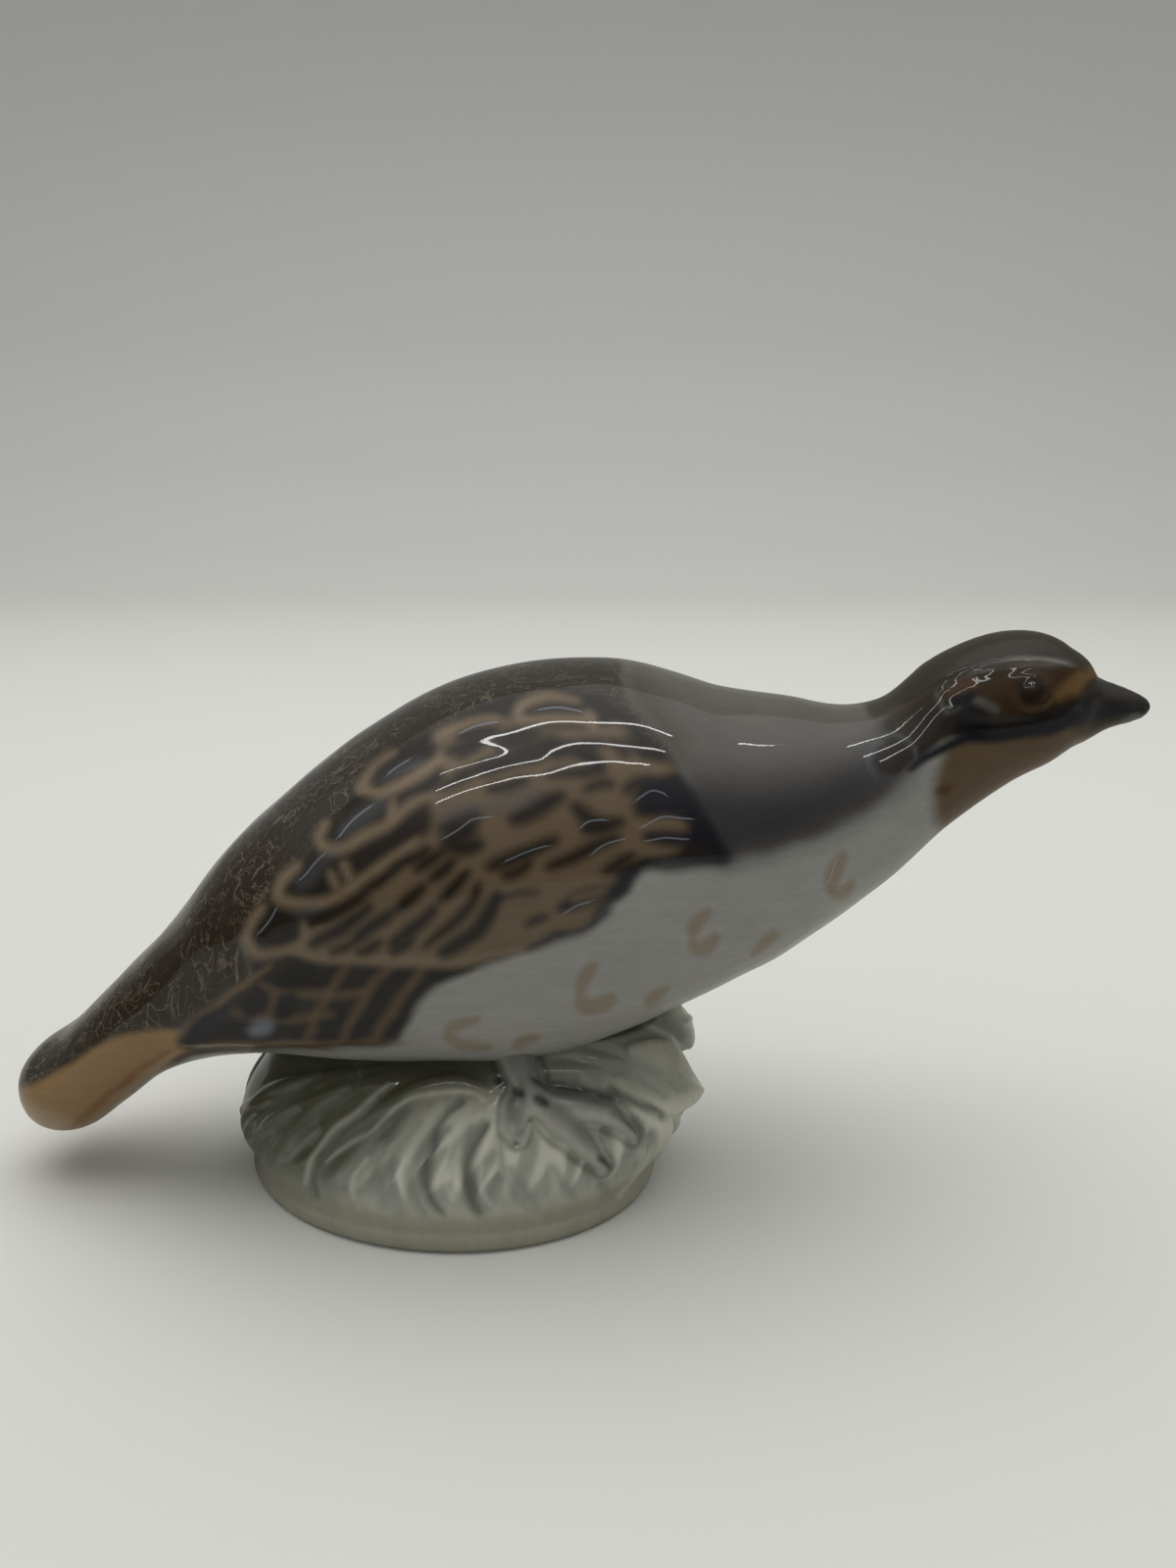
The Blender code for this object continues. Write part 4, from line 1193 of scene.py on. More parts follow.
def brushed(tree, place, scale, turn):
    """The painted colour through the brushwork group, with streaks scaled and turned about y."""
    streaks = node(tree, "ShaderNodeMapping", {"Vector": place, "Scale": scale, "Rotation": (0, turn, 0)})
    made = group_node(tree, "brushwork", brushwork_group)
    tree.links.new(attribute(tree, "paint", "Color"), made.inputs["Color"])
    tree.links.new(streaks.outputs["Vector"], made.inputs["Vector"])
    made.inputs["Amount"].default_value = BRUSH_AMOUNT
    return made.outputs["Color"]


def filament_group():
    """Fine wavy lines that wander over the back feathers, as a mask."""
    tree, given, result = new_group(
        "filaments",
        (("Vector", "NodeSocketVector", None), ("Width", "NodeSocketFloat", FILAMENT_WIDTH)),
        (("Mask", "NodeSocketFloat"),),
    )
    lines = 0.0
    for turn, scale in FILAMENT_FAMILIES:
        family = {"Vector": given.outputs["Vector"], "Scale": scale, "Rotation": (0, turn, 0)}
        turned = node(tree, "ShaderNodeMapping", family).outputs["Vector"]
        waves = noise(tree, turned, 1.0, Distortion=FILAMENT_WANDER)
        off = maths(tree, "ABSOLUTE", maths(tree, "SUBTRACT", waves, 0.5))
        away = maths(tree, "DIVIDE", off, given.outputs["Width"])
        lines = maths(tree, "MAXIMUM", lines, maths(tree, "SUBTRACT", 1.0, away, clamp=True))
    patch = maths(tree, "SUBTRACT", noise(tree, given.outputs["Vector"], PATCH_SCALE), PATCH_FLOOR)
    shown = maths(tree, "MULTIPLY", patch, PATCH_CONTRAST, clamp=True)
    tree.links.new(maths(tree, "MULTIPLY", lines, shown), result.inputs["Mask"])
    return tree


def bird_colour(tree, place):
    """Painted colour with brush streaks, filaments on the back, feather shafts and the eyes."""
    paints = bpy.context.scene.partridge_paints
    colour = brushed(tree, place, BIRD_STREAKS, BIRD_STREAK_TURN)

    filaments = group_node(tree, "filaments", filament_group)
    tree.links.new(place, filaments.inputs["Vector"])
    strength = maths(tree, "MULTIPLY", attribute(tree, "filament_show"), FILAMENT_STRENGTH)
    shown = maths(tree, "MULTIPLY", filaments.outputs["Mask"], strength)
    colour = mixed(tree, shown, colour, (*paints.filament, 1))

    offset = maths(tree, "ABSOLUTE", attribute(tree, "hairline"))
    thin = maths(tree, "SUBTRACT", HAIRLINE_WIDTH, offset, clamp=True)
    strength = maths(tree, "MULTIPLY", attribute(tree, "hairline_show"), HAIRLINE_STRENGTH)
    colour = mixed(tree, maths(tree, "MULTIPLY", thin, strength), colour, (*paints.hairline, 1))

    eye = skin(*EYE_PLACE, 1)[0] * MM
    parts = place_parts(tree)
    near_side = {"X": parts["X"], "Y": maths(tree, "ABSOLUTE", parts["Y"]), "Z": parts["Z"]}
    mirrored = node(tree, "ShaderNodeCombineXYZ", near_side).outputs[0]
    away = node(tree, "ShaderNodeVectorMath", {0: mirrored, 1: tuple(eye)}, operation="DISTANCE")
    for radius, ring, strength, edge in EYE_RINGS:
        depth = maths(tree, "SUBTRACT", radius * MM, away.outputs["Value"])
        inside = maths(tree, "DIVIDE", depth, edge * MM, clamp=True)
        colour = mixed(tree, maths(tree, "MULTIPLY", inside, strength), colour, (*paint(*ring), 1))
    return colour


def base_colour(tree, place):
    """Celadon colour with painted shade laid by the depth of the grass, brushed along the blades."""
    return brushed(tree, place, TURF_STREAKS, 0)


def inside_outline(x, z, outline):
    """How much a point lies inside a wing's outline, soft over its edge."""
    return ease(outline_depth(x, z, outline, steps=6) / WING_EDGE + 0.5)


def wing_relief(x, z, degrees):
    """How far the folded wings lift the skin, in millimetres."""
    sizes = bpy.context.scene.partridge_sizes
    low, high = WING_RISE_ANGLES
    near, far = WING_FALL_RUN
    show = ease((degrees - low) / (high - low)) * (1 - ease((x - near) / (far - near)))
    lift = np.zeros(len(x))
    for relief, outline in ((sizes.wing_relief, WING_OUTLINE), (sizes.covert_relief, COVERT_OUTLINE)):
        rise = relief / MM * show - WING_SUNK * (1 - show)
        lift = np.maximum(lift, rise * inside_outline(x, z, outline))
    return lift


def add_body(bm, around=144, along=250):
    """The body, neck and head: a sphere drawn out along the spine, lifted by the wings."""

    def shape(ball):
        shares = np.arccos(np.clip(-ball[:, 2], -1, 1)) / math.pi
        turns = np.degrees(np.arctan2(ball[:, 1], ball[:, 0]))
        side, degrees = np.where(turns < 0, -1.0, 1.0), np.abs(turns)
        plain = skin(shares, degrees, side)
        return skin(shares, degrees, side, wing_relief(plain[:, 0], plain[:, 2] - BELLY_HEIGHT, degrees))

    add_ball(bm, around, along, shape)


def add_beak(bm, around=48, along=40):
    """The closed beak, with the gape pressed in as a line along each side."""

    def shape(ball):
        share = np.arccos(np.clip(-ball[:, 2], -1, 1)) / math.pi
        x, rise, fall, half = np.maximum(smooth_rows(BEAK_SECTIONS, share), 0).T
        angle = np.arctan2(ball[:, 1], ball[:, 0])
        off_gape = (np.abs(np.degrees(angle)) - 90) / GAPE_WIDTH
        squeeze = 1 - GAPE_DEPTH * np.exp(-(off_gape**2))
        reach = np.cos(angle) * np.where(np.cos(angle) > 0, rise, fall)
        return np.stack([x, np.sin(angle) * half * squeeze, GAPE_HEIGHT + BELLY_HEIGHT + reach], axis=1)

    add_ball(bm, around, along, shape)


def blend_beak(mesh):
    """The crease where the beak joins the face, smoothed away."""
    bm = bmesh.new()
    bm.from_mesh(mesh)
    near, far = BEAK_BLEND_RUN
    crease = [vert for vert in bm.verts if near < vert.co.x / MM < far]
    axes = {"use_axis_x": True, "use_axis_y": True, "use_axis_z": True}
    for _ in range(BEAK_BLEND_PASSES):
        bmesh.ops.smooth_vert(bm, verts=crease, factor=0.5, **axes)
    bm.to_mesh(mesh)
    bm.free()


def add_head_relief(bm, lid_rows=20, rows=24):
    """Eyes in their lids, brow ridges and cheek folds, on both sides."""
    for side in (-1, 1):
        eye = Vector(skin(*EYE_PLACE, side)[0])
        out = (eye - Vector(skin(*EYE_PLACE, side, -1.0)[0])).normalized()
        turn = out.to_track_quat("Z", "Y").to_matrix()
        place = Matrix.Translation((eye - out * EYE_SINK) * MM)
        bmesh.ops.create_uvsphere(bm, u_segments=32, v_segments=24, radius=EYE_RADIUS * MM, matrix=place)
        for first in (0, math.pi):
            lid = [
                eye + turn @ Vector((math.cos(angle) * LID_LENGTH, math.sin(angle) * LID_HEIGHT, 0))
                for angle in np.linspace(first, first + math.pi, lid_rows)
            ]
            strand(bm, lid, [LID_THICKNESS] * lid_rows, tuple(out))
        for track, radius in ((BROW_TRACK, BROW_RADIUS), (CHEEK_TRACK, CHEEK_RADIUS)):
            shares, degrees = through(track, rows).T
            strand(bm, skin(shares, degrees, side, -radius * FOLD_SINK), taper(rows, radius))


def add_flights(bm, rows=20):
    """Soft ridges of the flight feathers along the folded wings."""
    radii = taper(rows, FLIGHT_RADIUS, tip=0.3, start=0.75)
    for side in (-1, 1):
        for track in FLIGHT_TRACKS:
            shares, degrees = through(track, rows).T
            strand(bm, skin(shares, degrees, side, FLIGHT_LIFT), radii)


def paint_bird(mesh):
    """The bird's colours, with painted sheen, highlight, reflection and shade among them, its fine relief
    and its drawn lines.
    """
    paints = bpy.context.scene.partridge_paints
    canvas = Canvas(read_places(mesh), paints.ivory)
    canvas.field(BACK_FIELD, paints.back, edge=26)
    canvas.field(RUMP_FIELD, paints.rump, edge=60)
    canvas.field(NECK_FIELD, paints.slate, edge=20)
    canvas.field(NECK_LOW_FIELD, paints.deep_slate, edge=60, strength=0.95)
    canvas.strokes((MANTLE_STROKE,), paints.mantle, edge=44, strength=0.7)

    canvas.field(TAIL_FIELD, paints.tail, edge=10)
    canvas.strokes((TAIL_PALE_TRACK, TAIL_TIP_TRACK), paints.tail_pale, edge=14, strength=0.7)
    canvas.strokes((TAIL_RIDGE,), paints.tail_ridge, edge=7, strength=0.6)
    # Painted shade under the wing's lower edge, along the dark undertail.
    canvas.strokes((UNDERTAIL_SHADE_TRACK,), paints.umber, edge=8, strength=0.8)
    canvas.field(WING_FIELD, paints.umber, edge=14)
    canvas.strokes((PRIMARY_EDGE, PRIMARY_LOW_EDGE), paints.tan_dim, edge=7, strength=0.9, relief=0.15)
    canvas.strokes(PRIMARY_BLUES, paints.navy, edge=16, strength=0.9)
    canvas.strokes(PRIMARY_BARS, paints.ink, edge=15, strength=0.8)
    canvas.strokes(PRIMARY_TANS, paints.tan_dim, edge=13, strength=0.75)
    canvas.strokes(PRIMARY_BLACKS, paints.ink, edge=12, strength=0.95)
    # Painted highlight on the flight feathers, in the hairline paint.
    canvas.strokes((PRIMARY_SHEEN,), paints.hairline, edge=14, strength=0.45)

    canvas.field(TAN_FIELD, paints.tan, edge=16)
    # Laces in the lighter tan, partly a painted sheen on the upper wing.
    canvas.strokes(TAN_LACES, paints.lit_tan, edge=14)
    canvas.strokes(DARK_CENTRES, paints.umber, edge=17)
    canvas.strokes(FLIGHT_STROKES, paints.umber, edge=14, relief=-0.06)
    # Painted sheen on the wing's feather centres.
    canvas.strokes(PAINTED_SHEENS, paints.reflection_grey, edge=18, strength=0.4)
    canvas.strokes(SHOULDER_BLOTS, paints.navy, edge=15, strength=0.9)
    canvas.strokes(FRONT_LOOPS, paints.tan, edge=12, strength=0.85)
    canvas.strokes(BELLY_CRESCENTS, paints.crescent, edge=8, strength=0.7)

    canvas.field(THROAT_FIELD, paints.throat, edge=20)
    canvas.field(FACE_FIELD, paints.face, edge=10)
    canvas.field(HIND_NECK_FIELD, paints.face, edge=18, strength=0.7)
    canvas.strokes((NECK_DARK_STROKE,), paints.face, edge=14, strength=0.8)
    canvas.field(CROWN_FIELD, paints.crown, edge=9)
    canvas.field(OCHRE_FIELD, paints.ochre, edge=18, strength=0.9)
    canvas.strokes(BROW_STRIPES, paints.ochre, edge=5, strength=0.8, relief=0.06)
    canvas.strokes(BROW_DARKS, paints.umber, edge=4, strength=0.7, relief=-0.06)
    canvas.strokes(LORE_STROKES, paints.lore, edge=14, strength=0.75)
    canvas.strokes(EYE_UNDER_STROKES, paints.rust, edge=7, strength=0.8)
    canvas.strokes(EAR_STROKES, paints.rust, edge=6, strength=0.9, relief=-0.1)
    canvas.strokes(EAR_DARK_STROKES, paints.ink, edge=8, relief=-0.15)
    canvas.strokes(CHEEK_GREY_STROKES, paints.slate, edge=8, strength=0.7)
    canvas.strokes(CHEEK_DARKS, paints.ink, edge=8, strength=0.85, relief=-0.06)
    canvas.field(BEAK_FIELD, paints.beak, edge=9)
    canvas.field(BEAK_UNDER_FIELD, paints.umber, edge=12, strength=0.65)
    canvas.strokes((CHEEK_NAVY,), paints.ink, edge=14, strength=0.8)
    canvas.strokes((NAVY_LINE,), paints.navy, edge=8)
    canvas.strokes((NOSTRIL_STROKE,), paints.ink, edge=5, strength=0.5)
    # Painted reflection on the neck: a pale ring round a dark oval.
    canvas.strokes((NECK_REFLECTION_RING,), paints.reflection_grey, edge=5, strength=0.5)
    canvas.strokes((NECK_REFLECTION,), paints.face, edge=5, strength=0.9)
    canvas.strokes((THROAT_SPOT,), paints.rust, edge=8, strength=0.8)

    shown = np.zeros(len(canvas.across))
    shown[canvas.near(np.array(BACK_FIELD, float), 0)] = 1
    shown *= canvas.inside(BACK_FIELD, edge=30)
    for outline in (WING_FIELD, TAIL_FIELD):
        shown *= 1 - canvas.inside(outline, edge=10)

    offset, show = canvas.hairlines(HAIRLINES)
    store_colour(mesh, "paint", canvas.colours)
    store_number(mesh, "filament_show", shown)
    store_number(mesh, "hairline", offset)
    store_number(mesh, "hairline_show", show)
    push_out(mesh, canvas.relief)


def turf_section(height):
    """The ovals of the mound at heights: middle x, half length and half depth, in millimetres."""
    heights = [row[0] for row in BASE_SECTIONS]
    share = np.interp(height, heights, np.linspace(0, 1, len(heights)))
    found = smooth_rows(BASE_SECTIONS, share)
    left, right, deep = found[..., 1], found[..., 2], found[..., 3]
    return (left + right) / 2, (right - left) / 2, deep


def on_turf(degrees, height, lift=0.0):
    """A point of the mound at a plan angle and a height, pushed out by a lift, and its outward."""
    angle = math.radians(degrees)
    middle, half_x, half_y = turf_section(height)
    x = middle + half_x * math.cos(angle) - BASE_LEAN * math.sin(angle)
    outward = Vector((math.cos(angle) * half_y, math.sin(angle) * half_x, TURF_SLOPE)).normalized()
    return Vector((x, half_y * math.sin(angle), height)) + outward * lift, outward


def turf_at(x, height, side, lift):
    """The point of the mound at an x and a height on one side, and its outward."""
    middle, half_x, _ = turf_section(height)
    turn = math.atan2(-BASE_LEAN, half_x)
    spread = math.acos(max(-1, min(1, (x - middle) / math.hypot(half_x, BASE_LEAN))))
    return on_turf(math.degrees(turn + side * spread), height, lift)


def add_mound(bm, around=160, along=60):
    """The turf under the blades, as stacked ovals with flat ends."""
    rings = []
    for height in np.linspace(MOUND_BOTTOM, BASE_SECTIONS[-1][0], along + 1):
        turns = np.linspace(0, 360, around, endpoint=False)
        ring = [bm.verts.new(on_turf(turn, height)[0] * MM) for turn in turns]
        rings.append([bm.edges.new((ring[i - 1], ring[i])) for i in range(around)])
    for low, high in zip(rings, rings[1:]):
        bmesh.ops.bridge_loops(bm, edges=low + high)
    for ring in (rings[0], rings[-1]):
        bmesh.ops.holes_fill(bm, edges=ring)


def turf_strand(bm, places, radii, flat=1.0):
    """A strand through points and outward directions found on the turf."""
    points, outward = zip(*places)
    strand(bm, points, radii, outward, flat)


def add_blades(bm, count, blade_radius, lift, phase):
    """Blades laid over the turf, in a fan from each foot down to the rim."""
    for index in range(count):
        end = 360 * (index + phase) / count - 180
        wave = BLADE_WIDTH_WAVE * math.sin(math.radians(BLADE_WIDTH_WAVES * end))
        radius = blade_radius * (1 + wave)
        wave = BLADE_END_WAVE * math.sin(math.radians(BLADE_END_WAVES * end))
        low = BLADE_END_HEIGHT - RIM_ROLL + wave
        places = []
        for share in np.linspace(0, 1, BLADE_ROWS):
            pull = FAN_PULL * (1 - share) ** FAN_CURVE
            sway = BLADE_SWAY * math.sin(BLADE_SWAYS * share + end)
            angle = end + (math.copysign(FAN_ANGLE, end) - end) * pull + sway
            shown = ease(share / BLADE_RISE_SHARE) * ease((1 - share) / BLADE_MELT_SHARE)
            height = BLADE_START_HEIGHT + (low - BLADE_START_HEIGHT) * share**BLADE_FALL
            places.append(on_turf(angle, height, lift - (1 - shown) * (radius + lift)))
        turf_strand(bm, places, taper(len(places), radius, tip=0.7, start=0.6))


def add_rim(bm):
    """A soft roll around the foot of the mound, that the blades run into."""
    turns = np.linspace(*RIM_TURN, RIM_ROWS)
    places = [on_turf(turn, RIM_ROLL_HEIGHT, RIM_ROLL_LIFT) for turn in turns]
    turf_strand(bm, places, [RIM_ROLL_RADIUS] * RIM_ROWS)


def add_leaves(bm):
    """Broad leaves laid over the turf, with a raised vein, whose tips stand out at the breast end."""
    for start, high, end, low, out, half in LEAVES:
        vein_lift = half * LEAF_FLATNESS - VEIN_SINK
        for radius, flat, lift in ((half, LEAF_FLATNESS, 0.0), (VEIN_RADIUS, 1.0, vein_lift)):
            places = []
            for share in np.linspace(0, 1, BLADE_ROWS):
                fall = share**LEAF_FALL
                reach = LEAF_START_LIFT + (out - LEAF_START_LIFT) * fall
                reach += lift * math.sin(share * math.pi) ** 0.5
                turn = start + (end - start) * share
                places.append(on_turf(turn, high + (low - high) * fall, reach))
            turf_strand(bm, places, taper(len(places), radius, tip=0.05, start=0.6), flat)


def add_sole(bm):
    """The base cut level at the ground, with its foot ring, the recess inside it and the vent."""
    everything = bm.verts[:] + bm.edges[:] + bm.faces[:]
    ground = {"plane_co": (0, 0, 0), "plane_no": (0, 0, -1), "clear_outer": True}
    trimmed = bmesh.ops.bisect_plane(bm, geom=everything, **ground)["geom_cut"]
    rim = [item for item in trimmed if isinstance(item, bmesh.types.BMEdge)]
    sole = bmesh.ops.contextual_create(bm, geom=rim)["faces"]
    width = FOOT_RING_WIDTH * MM
    ring = bmesh.ops.inset_region(bm, faces=sole, thickness=width, use_even_offset=True)["faces"]
    bmesh.ops.translate(bm, verts=sole[0].verts[:], vec=(0, 0, FOOT_RECESS * MM))
    recess = list(sole[0].edges)
    bmesh.ops.delete(bm, geom=sole, context="FACES_ONLY")
    place = Matrix.Translation((turf_section(0)[0] * MM, 0, FOOT_RECESS * MM))
    circle = bmesh.ops.create_circle(bm, segments=48, radius=VENT_RADIUS * MM, matrix=place)["verts"]
    mouth = list({edge for vert in circle for edge in vert.link_edges})
    bmesh.ops.triangle_fill(bm, edges=recess + mouth, use_beauty=True)
    pulled = bmesh.ops.extrude_edge_only(bm, edges=mouth)["geom"]
    top = [item for item in pulled if isinstance(item, bmesh.types.BMVert)]
    bmesh.ops.translate(bm, verts=top, vec=(0, 0, (VENT_DEPTH - FOOT_RECESS) * MM))
    ends = {edge for vert in top for edge in vert.link_edges if set(edge.verts) <= set(top)}
    bmesh.ops.contextual_create(bm, geom=list(ends))
    bmesh.ops.triangulate(bm, faces=[face for face in ring if len(face.verts) > 4])
    bmesh.ops.recalc_face_normals(bm, faces=bm.faces)


def foot_paths():
    """Every shank, toe and fold of turf behind a foot, as a name, places, radii and flatness."""
    for side, shift in ((-1, 0.0), (1, LEFT_FOOT_SHIFT)):
        ankle, outward = turf_at(ANKLE[0] + shift, ANKLE[1], side, TOE_LIFT)
        hip = Vector((HIP[0] + shift, side * HIP[1], HIP[2]))
        shank = [(hip.lerp(ankle, share), outward) for share in np.linspace(0, 1, LEG_ROWS)]
        yield "shank", shank, np.linspace(HIP_RADIUS, LEG_RADIUS, LEG_ROWS), 1.0
        for track in TOES:
            rows = TOE_ROWS * len(track)
            places = [turf_at(x + shift, height, side, TOE_LIFT) for x, height in through(track, rows)]
            joints = 1 + TOE_JOINT * np.cos(np.linspace(0, 1, rows) * 2 * math.pi * TOE_JOINTS)
            yield "toe", places, taper(rows, TOE_RADIUS, tip=0.4, start=1) * joints, TOE_FLATNESS
        track = through(FOLD_TRACK, FOLD_ROWS)
        places = [turf_at(x + shift, height, side, FOLD_LIFT) for x, height in track]
        yield "fold", places, taper(FOLD_ROWS, FOLD_RADIUS, tip=0.4, start=0.5), 1.0


def paint_base(mesh):
    """Turf colour with painted shade by the depth of its grooves, olive with painted shadow behind the
    feet, and the feet with painted shade round them.
    """
    paints = bpy.context.scene.partridge_paints
    places = read_places(mesh)
    canvas = Canvas(places, paints.turf)
    x, y, z = places.T / MM
    middle, half_x, half_y = turf_section(z)
    across = y / half_y
    along = (x - middle + BASE_LEAN * across) / half_x
    outside = (np.hypot(along, across) - 1) * (half_x + half_y) / 2
    crest = ease((outside + GROOVE_DEPTH) / GROOVE_RISE)
    over_rim = ease((z - RIM_HEIGHT) / RIM_FADE)
    # Painted shade in the grooves, by their depth.
    canvas.wash((1 - crest) * over_rim, paints.turf_shade, strength=0.75)
    canvas.wash(1 - over_rim, paints.rim)
    # Olive with painted shadow under the bird, and painted shade by the leaves.
    canvas.field(OLIVE_SHADOW_FIELD, paints.olive_shadow, edge=70, strength=0.95)
    canvas.field(LEAF_SHADE_FIELD, paints.olive_shadow, edge=30, strength=0.42)
    canvas.strokes(SOFT_GROOVES, paints.turf_shade, edge=15, strength=0.75, relief=GROOVE_CARVING)
    canvas.strokes(DEEP_GROOVES, paints.turf_shade, edge=15, strength=0.85, relief=DEEP_CARVING)
    # Painted shade in the deepest grooves.
    canvas.strokes(DEEP_GROOVES, paints.deep_shade, edge=10, strength=0.5)
    # Painted highlights on the crests, over a little raised relief.
    canvas.strokes(CREST_HIGHLIGHTS, paints.turf_highlight, edge=9, strength=0.45, relief=CREST_RISE)
    gap = np.full(len(places), GAP_FAR)
    ridge = gap.copy()
    for kind, path, radii, _ in foot_paths():
        if kind == "fold":
            continue
        for (spot, _), radius in zip(path, radii):
            level = (x - spot[0]) ** 2 + (y - spot[1]) ** 2
            gap = np.minimum(gap, np.sqrt(level + (z - spot[2]) ** 2) - radius)
            ridge = np.minimum(ridge, np.sqrt(level + (z - spot[2] - radius) ** 2) / radius)
    # Painted shade round the toes.
    canvas.wash(ease(1 - np.abs(gap - TOE_EDGE) / TOE_EDGE), paints.deep_shade, strength=0.5)
    canvas.wash(ease(1 - gap / TOE_EDGE), paints.foot, strength=0.5)
    canvas.wash(ease(TOE_STREAK - ridge), paints.navy, strength=0.5)
    canvas.strokes(FOOT_SPOTS, paints.navy, edge=8, strength=0.8)
    store_colour(mesh, "paint", canvas.colours)
    push_out(mesh, canvas.relief * ease(z / RIM_HEIGHT))


def finish_piece(obj, material):
    """The piece's material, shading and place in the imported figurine."""
    obj.data.materials.clear()
    obj.data.materials.append(material)
    obj.data.shade_smooth()
    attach(obj, "root")
    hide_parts("partridge_figurine")


class PARTRIDGE_OT_bird(bpy.types.Operator):
    """Make the glazed bird"""

    bl_idname = "partridge.bird"
    bl_label = "Make bird"

    def execute(self, context):
        sizes = context.scene.partridge_sizes
        bm = bmesh.new()
        add_body(bm)
        add_beak(bm)
        add_head_relief(bm)
        add_flights(bm)
        bmesh.ops.recalc_face_normals(bm, faces=bm.faces)
        bird = fused(mesh_object("porcelain_bird", bm), sizes.bird_grid, BIRD_ROUNDING)
        blend_beak(bird.data)
        push_out(bird.data, ripples(read_places(bird.data), SKIN_WAVE) * sizes.ripple / MM)
        paint_bird(bird.data)
        finish_piece(bird, glazed("bird_glaze", bird_colour, dull_head=True))
        return {"FINISHED"}


class PARTRIDGE_OT_base(bpy.types.Operator):
    """Make the grassy base with the bird's feet"""

    bl_idname = "partridge.base"
    bl_label = "Make base"

    def execute(self, context):
        sizes = context.scene.partridge_sizes
        bm = bmesh.new()
        add_mound(bm)
        for count, radius, lift, phase in (
            (sizes.blade_count, sizes.blade_radius, sizes.blade_lift, 0.5),
            (sizes.fine_blade_count, sizes.fine_blade_radius, sizes.fine_blade_lift, 0.0),
        ):
            add_blades(bm, count, radius / MM, lift / MM, phase)
        add_rim(bm)
        add_leaves(bm)
        for _, path, radii, flat in foot_paths():
            turf_strand(bm, path, radii, flat)
        bmesh.ops.recalc_face_normals(bm, faces=bm.faces)
        base = fused(mesh_object("grass_base", bm), sizes.turf_grid, BASE_ROUNDING)
        cut = bmesh.new()
        cut.from_mesh(base.data)
        add_sole(cut)
        cut.to_mesh(base.data)
        cut.free()
        paint_base(base.data)
        finish_piece(base, glazed("turf_glaze", base_colour))
        return {"FINISHED"}


def add_lamp(name, place, width, depth, power, diffuse=True):
    """A soft rectangular lamp that looks at the middle of the figurine."""
    lamp = bpy.data.lights.new(name, "AREA")
    lamp.shape = "RECTANGLE"
    lamp.size = width
    lamp.size_y = depth
    lamp.energy = power
    obj = bpy.data.objects.new(name, lamp)
    bpy.context.scene.collection.objects.link(obj)
    obj.location = place
    aim = Vector(LAMP_TARGET) - Vector(place)
    obj.rotation_euler = aim.to_track_quat("-Z", "Y").to_euler()
    obj.visible_diffuse = diffuse
    return obj


def add_paper(stage):
    """The floor and backdrop, as one sheet that curves up behind."""
    bm = bmesh.new()
    profile = ((PAPER_FRONT, 0.0), *PAPER_CURVE)
    line = [bm.verts.new((-PAPER_SIDE, y, z)) for y, z in profile]
    edges = [bm.edges.new(pair) for pair in zip(line, line[1:])]
    pulled = bmesh.ops.extrude_edge_only(bm, edges=edges)["geom"]
    far = [item for item in pulled if isinstance(item, bmesh.types.BMVert)]
    bmesh.ops.translate(bm, verts=far, vec=(2 * PAPER_SIDE, 0, 0))
    bmesh.ops.recalc_face_normals(bm, faces=bm.faces)
    floor = mesh_object("floor", bm)
    floor.data.shade_smooth()
    floor.data.materials.append(paper(stage))


def paper(stage):
    """Matt paper, whose upper part glows a little for the camera only."""
    material = bpy.data.materials.new("paper")
    material.use_nodes = True
    tree = material.node_tree
    shader = tree.nodes["Principled BSDF"]
    past = maths(tree, "SUBTRACT", place_parts(tree)["Y"], WALL_START)
    back = maths(tree, "DIVIDE", past, WALL_BLEND, clamp=True)
    colour = mixed(tree, back, (*stage.floor, 1), (*stage.wall, 1))
    tree.links.new(colour, shader.inputs["Base Color"])
    tree.links.new(colour, shader.inputs["Emission Color"])
    seen = node(tree, "ShaderNodeLightPath").outputs["Is Camera Ray"]
    glow = maths(tree, "MULTIPLY", maths(tree, "MULTIPLY", back, stage.wall_glow), seen)
    tree.links.new(glow, shader.inputs["Emission Strength"])
    shader.inputs["Roughness"].default_value = PAPER_ROUGHNESS
    shader.inputs["Specular IOR Level"].default_value = PAPER_SHEEN
    return material


def sky(stage):
    """Soft light that is brightest overhead, and brighter still in the glaze."""
    world = bpy.data.worlds.new("sky")
    world.use_nodes = True
    tree = world.node_tree
    height = maths(tree, "MAXIMUM", place_parts(tree, "Generated")["Z"], 0.0)
    rise = maths(tree, "POWER", height, SKY_CURVE)
    glossy = node(tree, "ShaderNodeLightPath").outputs["Is Glossy Ray"]
    zenith = maths(tree, "MULTIPLY", maths(tree, "ADD", glossy, 1.0), stage.zenith)
    dulled = maths(tree, "SUBTRACT", 1.0, maths(tree, "MULTIPLY", glossy, HORIZON_DULLING))
    horizon = maths(tree, "MULTIPLY", dulled, stage.sky)
    level = maths(tree, "ADD", maths(tree, "MULTIPLY", rise, zenith), horizon)
    background = tree.nodes["Background"]
    tree.links.new(level, background.inputs["Strength"])
    background.inputs["Color"].default_value = (1, 1, 1, 1)
    return world


def add_camera():
    """The photograph's camera."""
    data = bpy.data.cameras.new("camera")
    data.sensor_width = SENSOR_MM
    data.lens = SENSOR_MM * FOCAL_PIXELS / PICTURE_HEIGHT
    camera = bpy.data.objects.new("camera", data)
    bpy.context.scene.collection.objects.link(camera)
    camera.location = CAMERA_PLACE
    camera.rotation_euler = (math.pi / 2 - CAMERA_PITCH, 0, 0)
    return camera


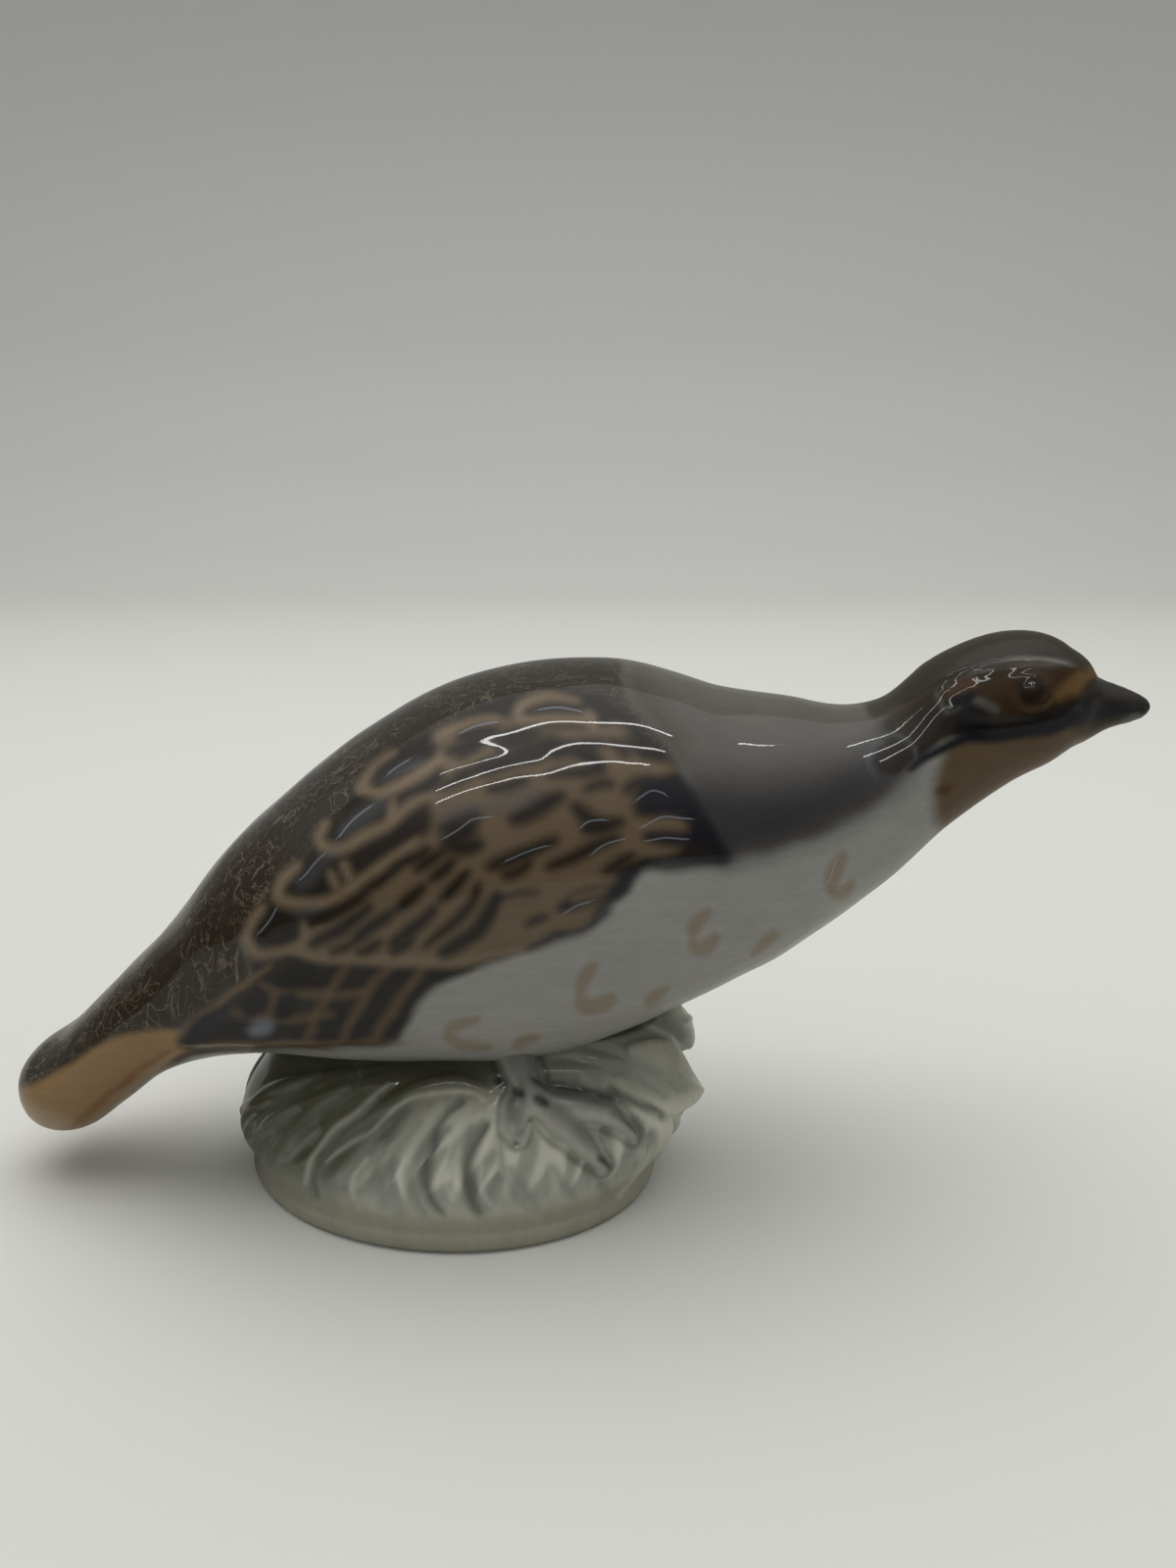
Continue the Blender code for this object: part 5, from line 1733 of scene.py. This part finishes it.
class PARTRIDGE_OT_stage(bpy.types.Operator):
    """Make the floor, backdrop, lamps and camera"""

    bl_idname = "partridge.stage"
    bl_label = "Make stage"

    def execute(self, context):
        scene = context.scene
        stage = scene.partridge_stage
        add_paper(stage)
        softbox = add_lamp("softbox", SOFTBOX_PLACE, SOFTBOX_WIDTH, SOFTBOX_DEPTH, stage.overhead)
        softbox.visible_glossy = False
        for index, place in enumerate(STRIP_PLACES):
            name = f"strip_{index + 1}"
            add_lamp(name, place, STRIP_LENGTH, STRIP_WIDTH, stage.strip, diffuse=False)
        scene.world = sky(stage)
        scene.camera = add_camera()
        scene.view_settings.view_transform = "Standard"
        return {"FINISHED"}


class PARTRIDGE_PT_panel(bpy.types.Panel):
    """Partridge tools and their settings"""

    bl_idname = "PARTRIDGE_PT_panel"
    bl_label = "Porcelain Partridge"
    bl_space_type = "VIEW_3D"
    bl_region_type = "UI"
    bl_category = "Partridge"

    def draw(self, context):
        column = self.layout.column()
        for operator in ("partridge.stage", "partridge.bird", "partridge.base"):
            column.operator(operator)
        for group in ("partridge_sizes", "partridge_glaze", "partridge_paints", "partridge_stage"):
            settings = getattr(context.scene, group)
            for name in settings.__annotations__:
                column.prop(settings, name)


SETTINGS = {
    "partridge_paints": PartridgePaints,
    "partridge_sizes": PartridgeSizes,
    "partridge_glaze": PartridgeGlaze,
    "partridge_stage": PartridgeStage,
}
OPERATORS = (PARTRIDGE_OT_stage, PARTRIDGE_OT_bird, PARTRIDGE_OT_base, PARTRIDGE_PT_panel)


def register():
    """Adds the settings, operators and panel."""
    for name, group in SETTINGS.items():
        bpy.utils.register_class(group)
        setattr(bpy.types.Scene, name, PointerProperty(type=group))
    for made in OPERATORS:
        bpy.utils.register_class(made)


def unregister():
    """Takes the settings, operators and panel away."""
    for made in reversed(OPERATORS):
        bpy.utils.unregister_class(made)
    for name, group in SETTINGS.items():
        delattr(bpy.types.Scene, name)
        bpy.utils.unregister_class(group)


def main():
    """Makes the stage and both pieces."""
    register()
    bpy.ops.partridge.stage()
    bpy.ops.partridge.bird()
    bpy.ops.partridge.base()


if __name__ == "__main__":
    main()
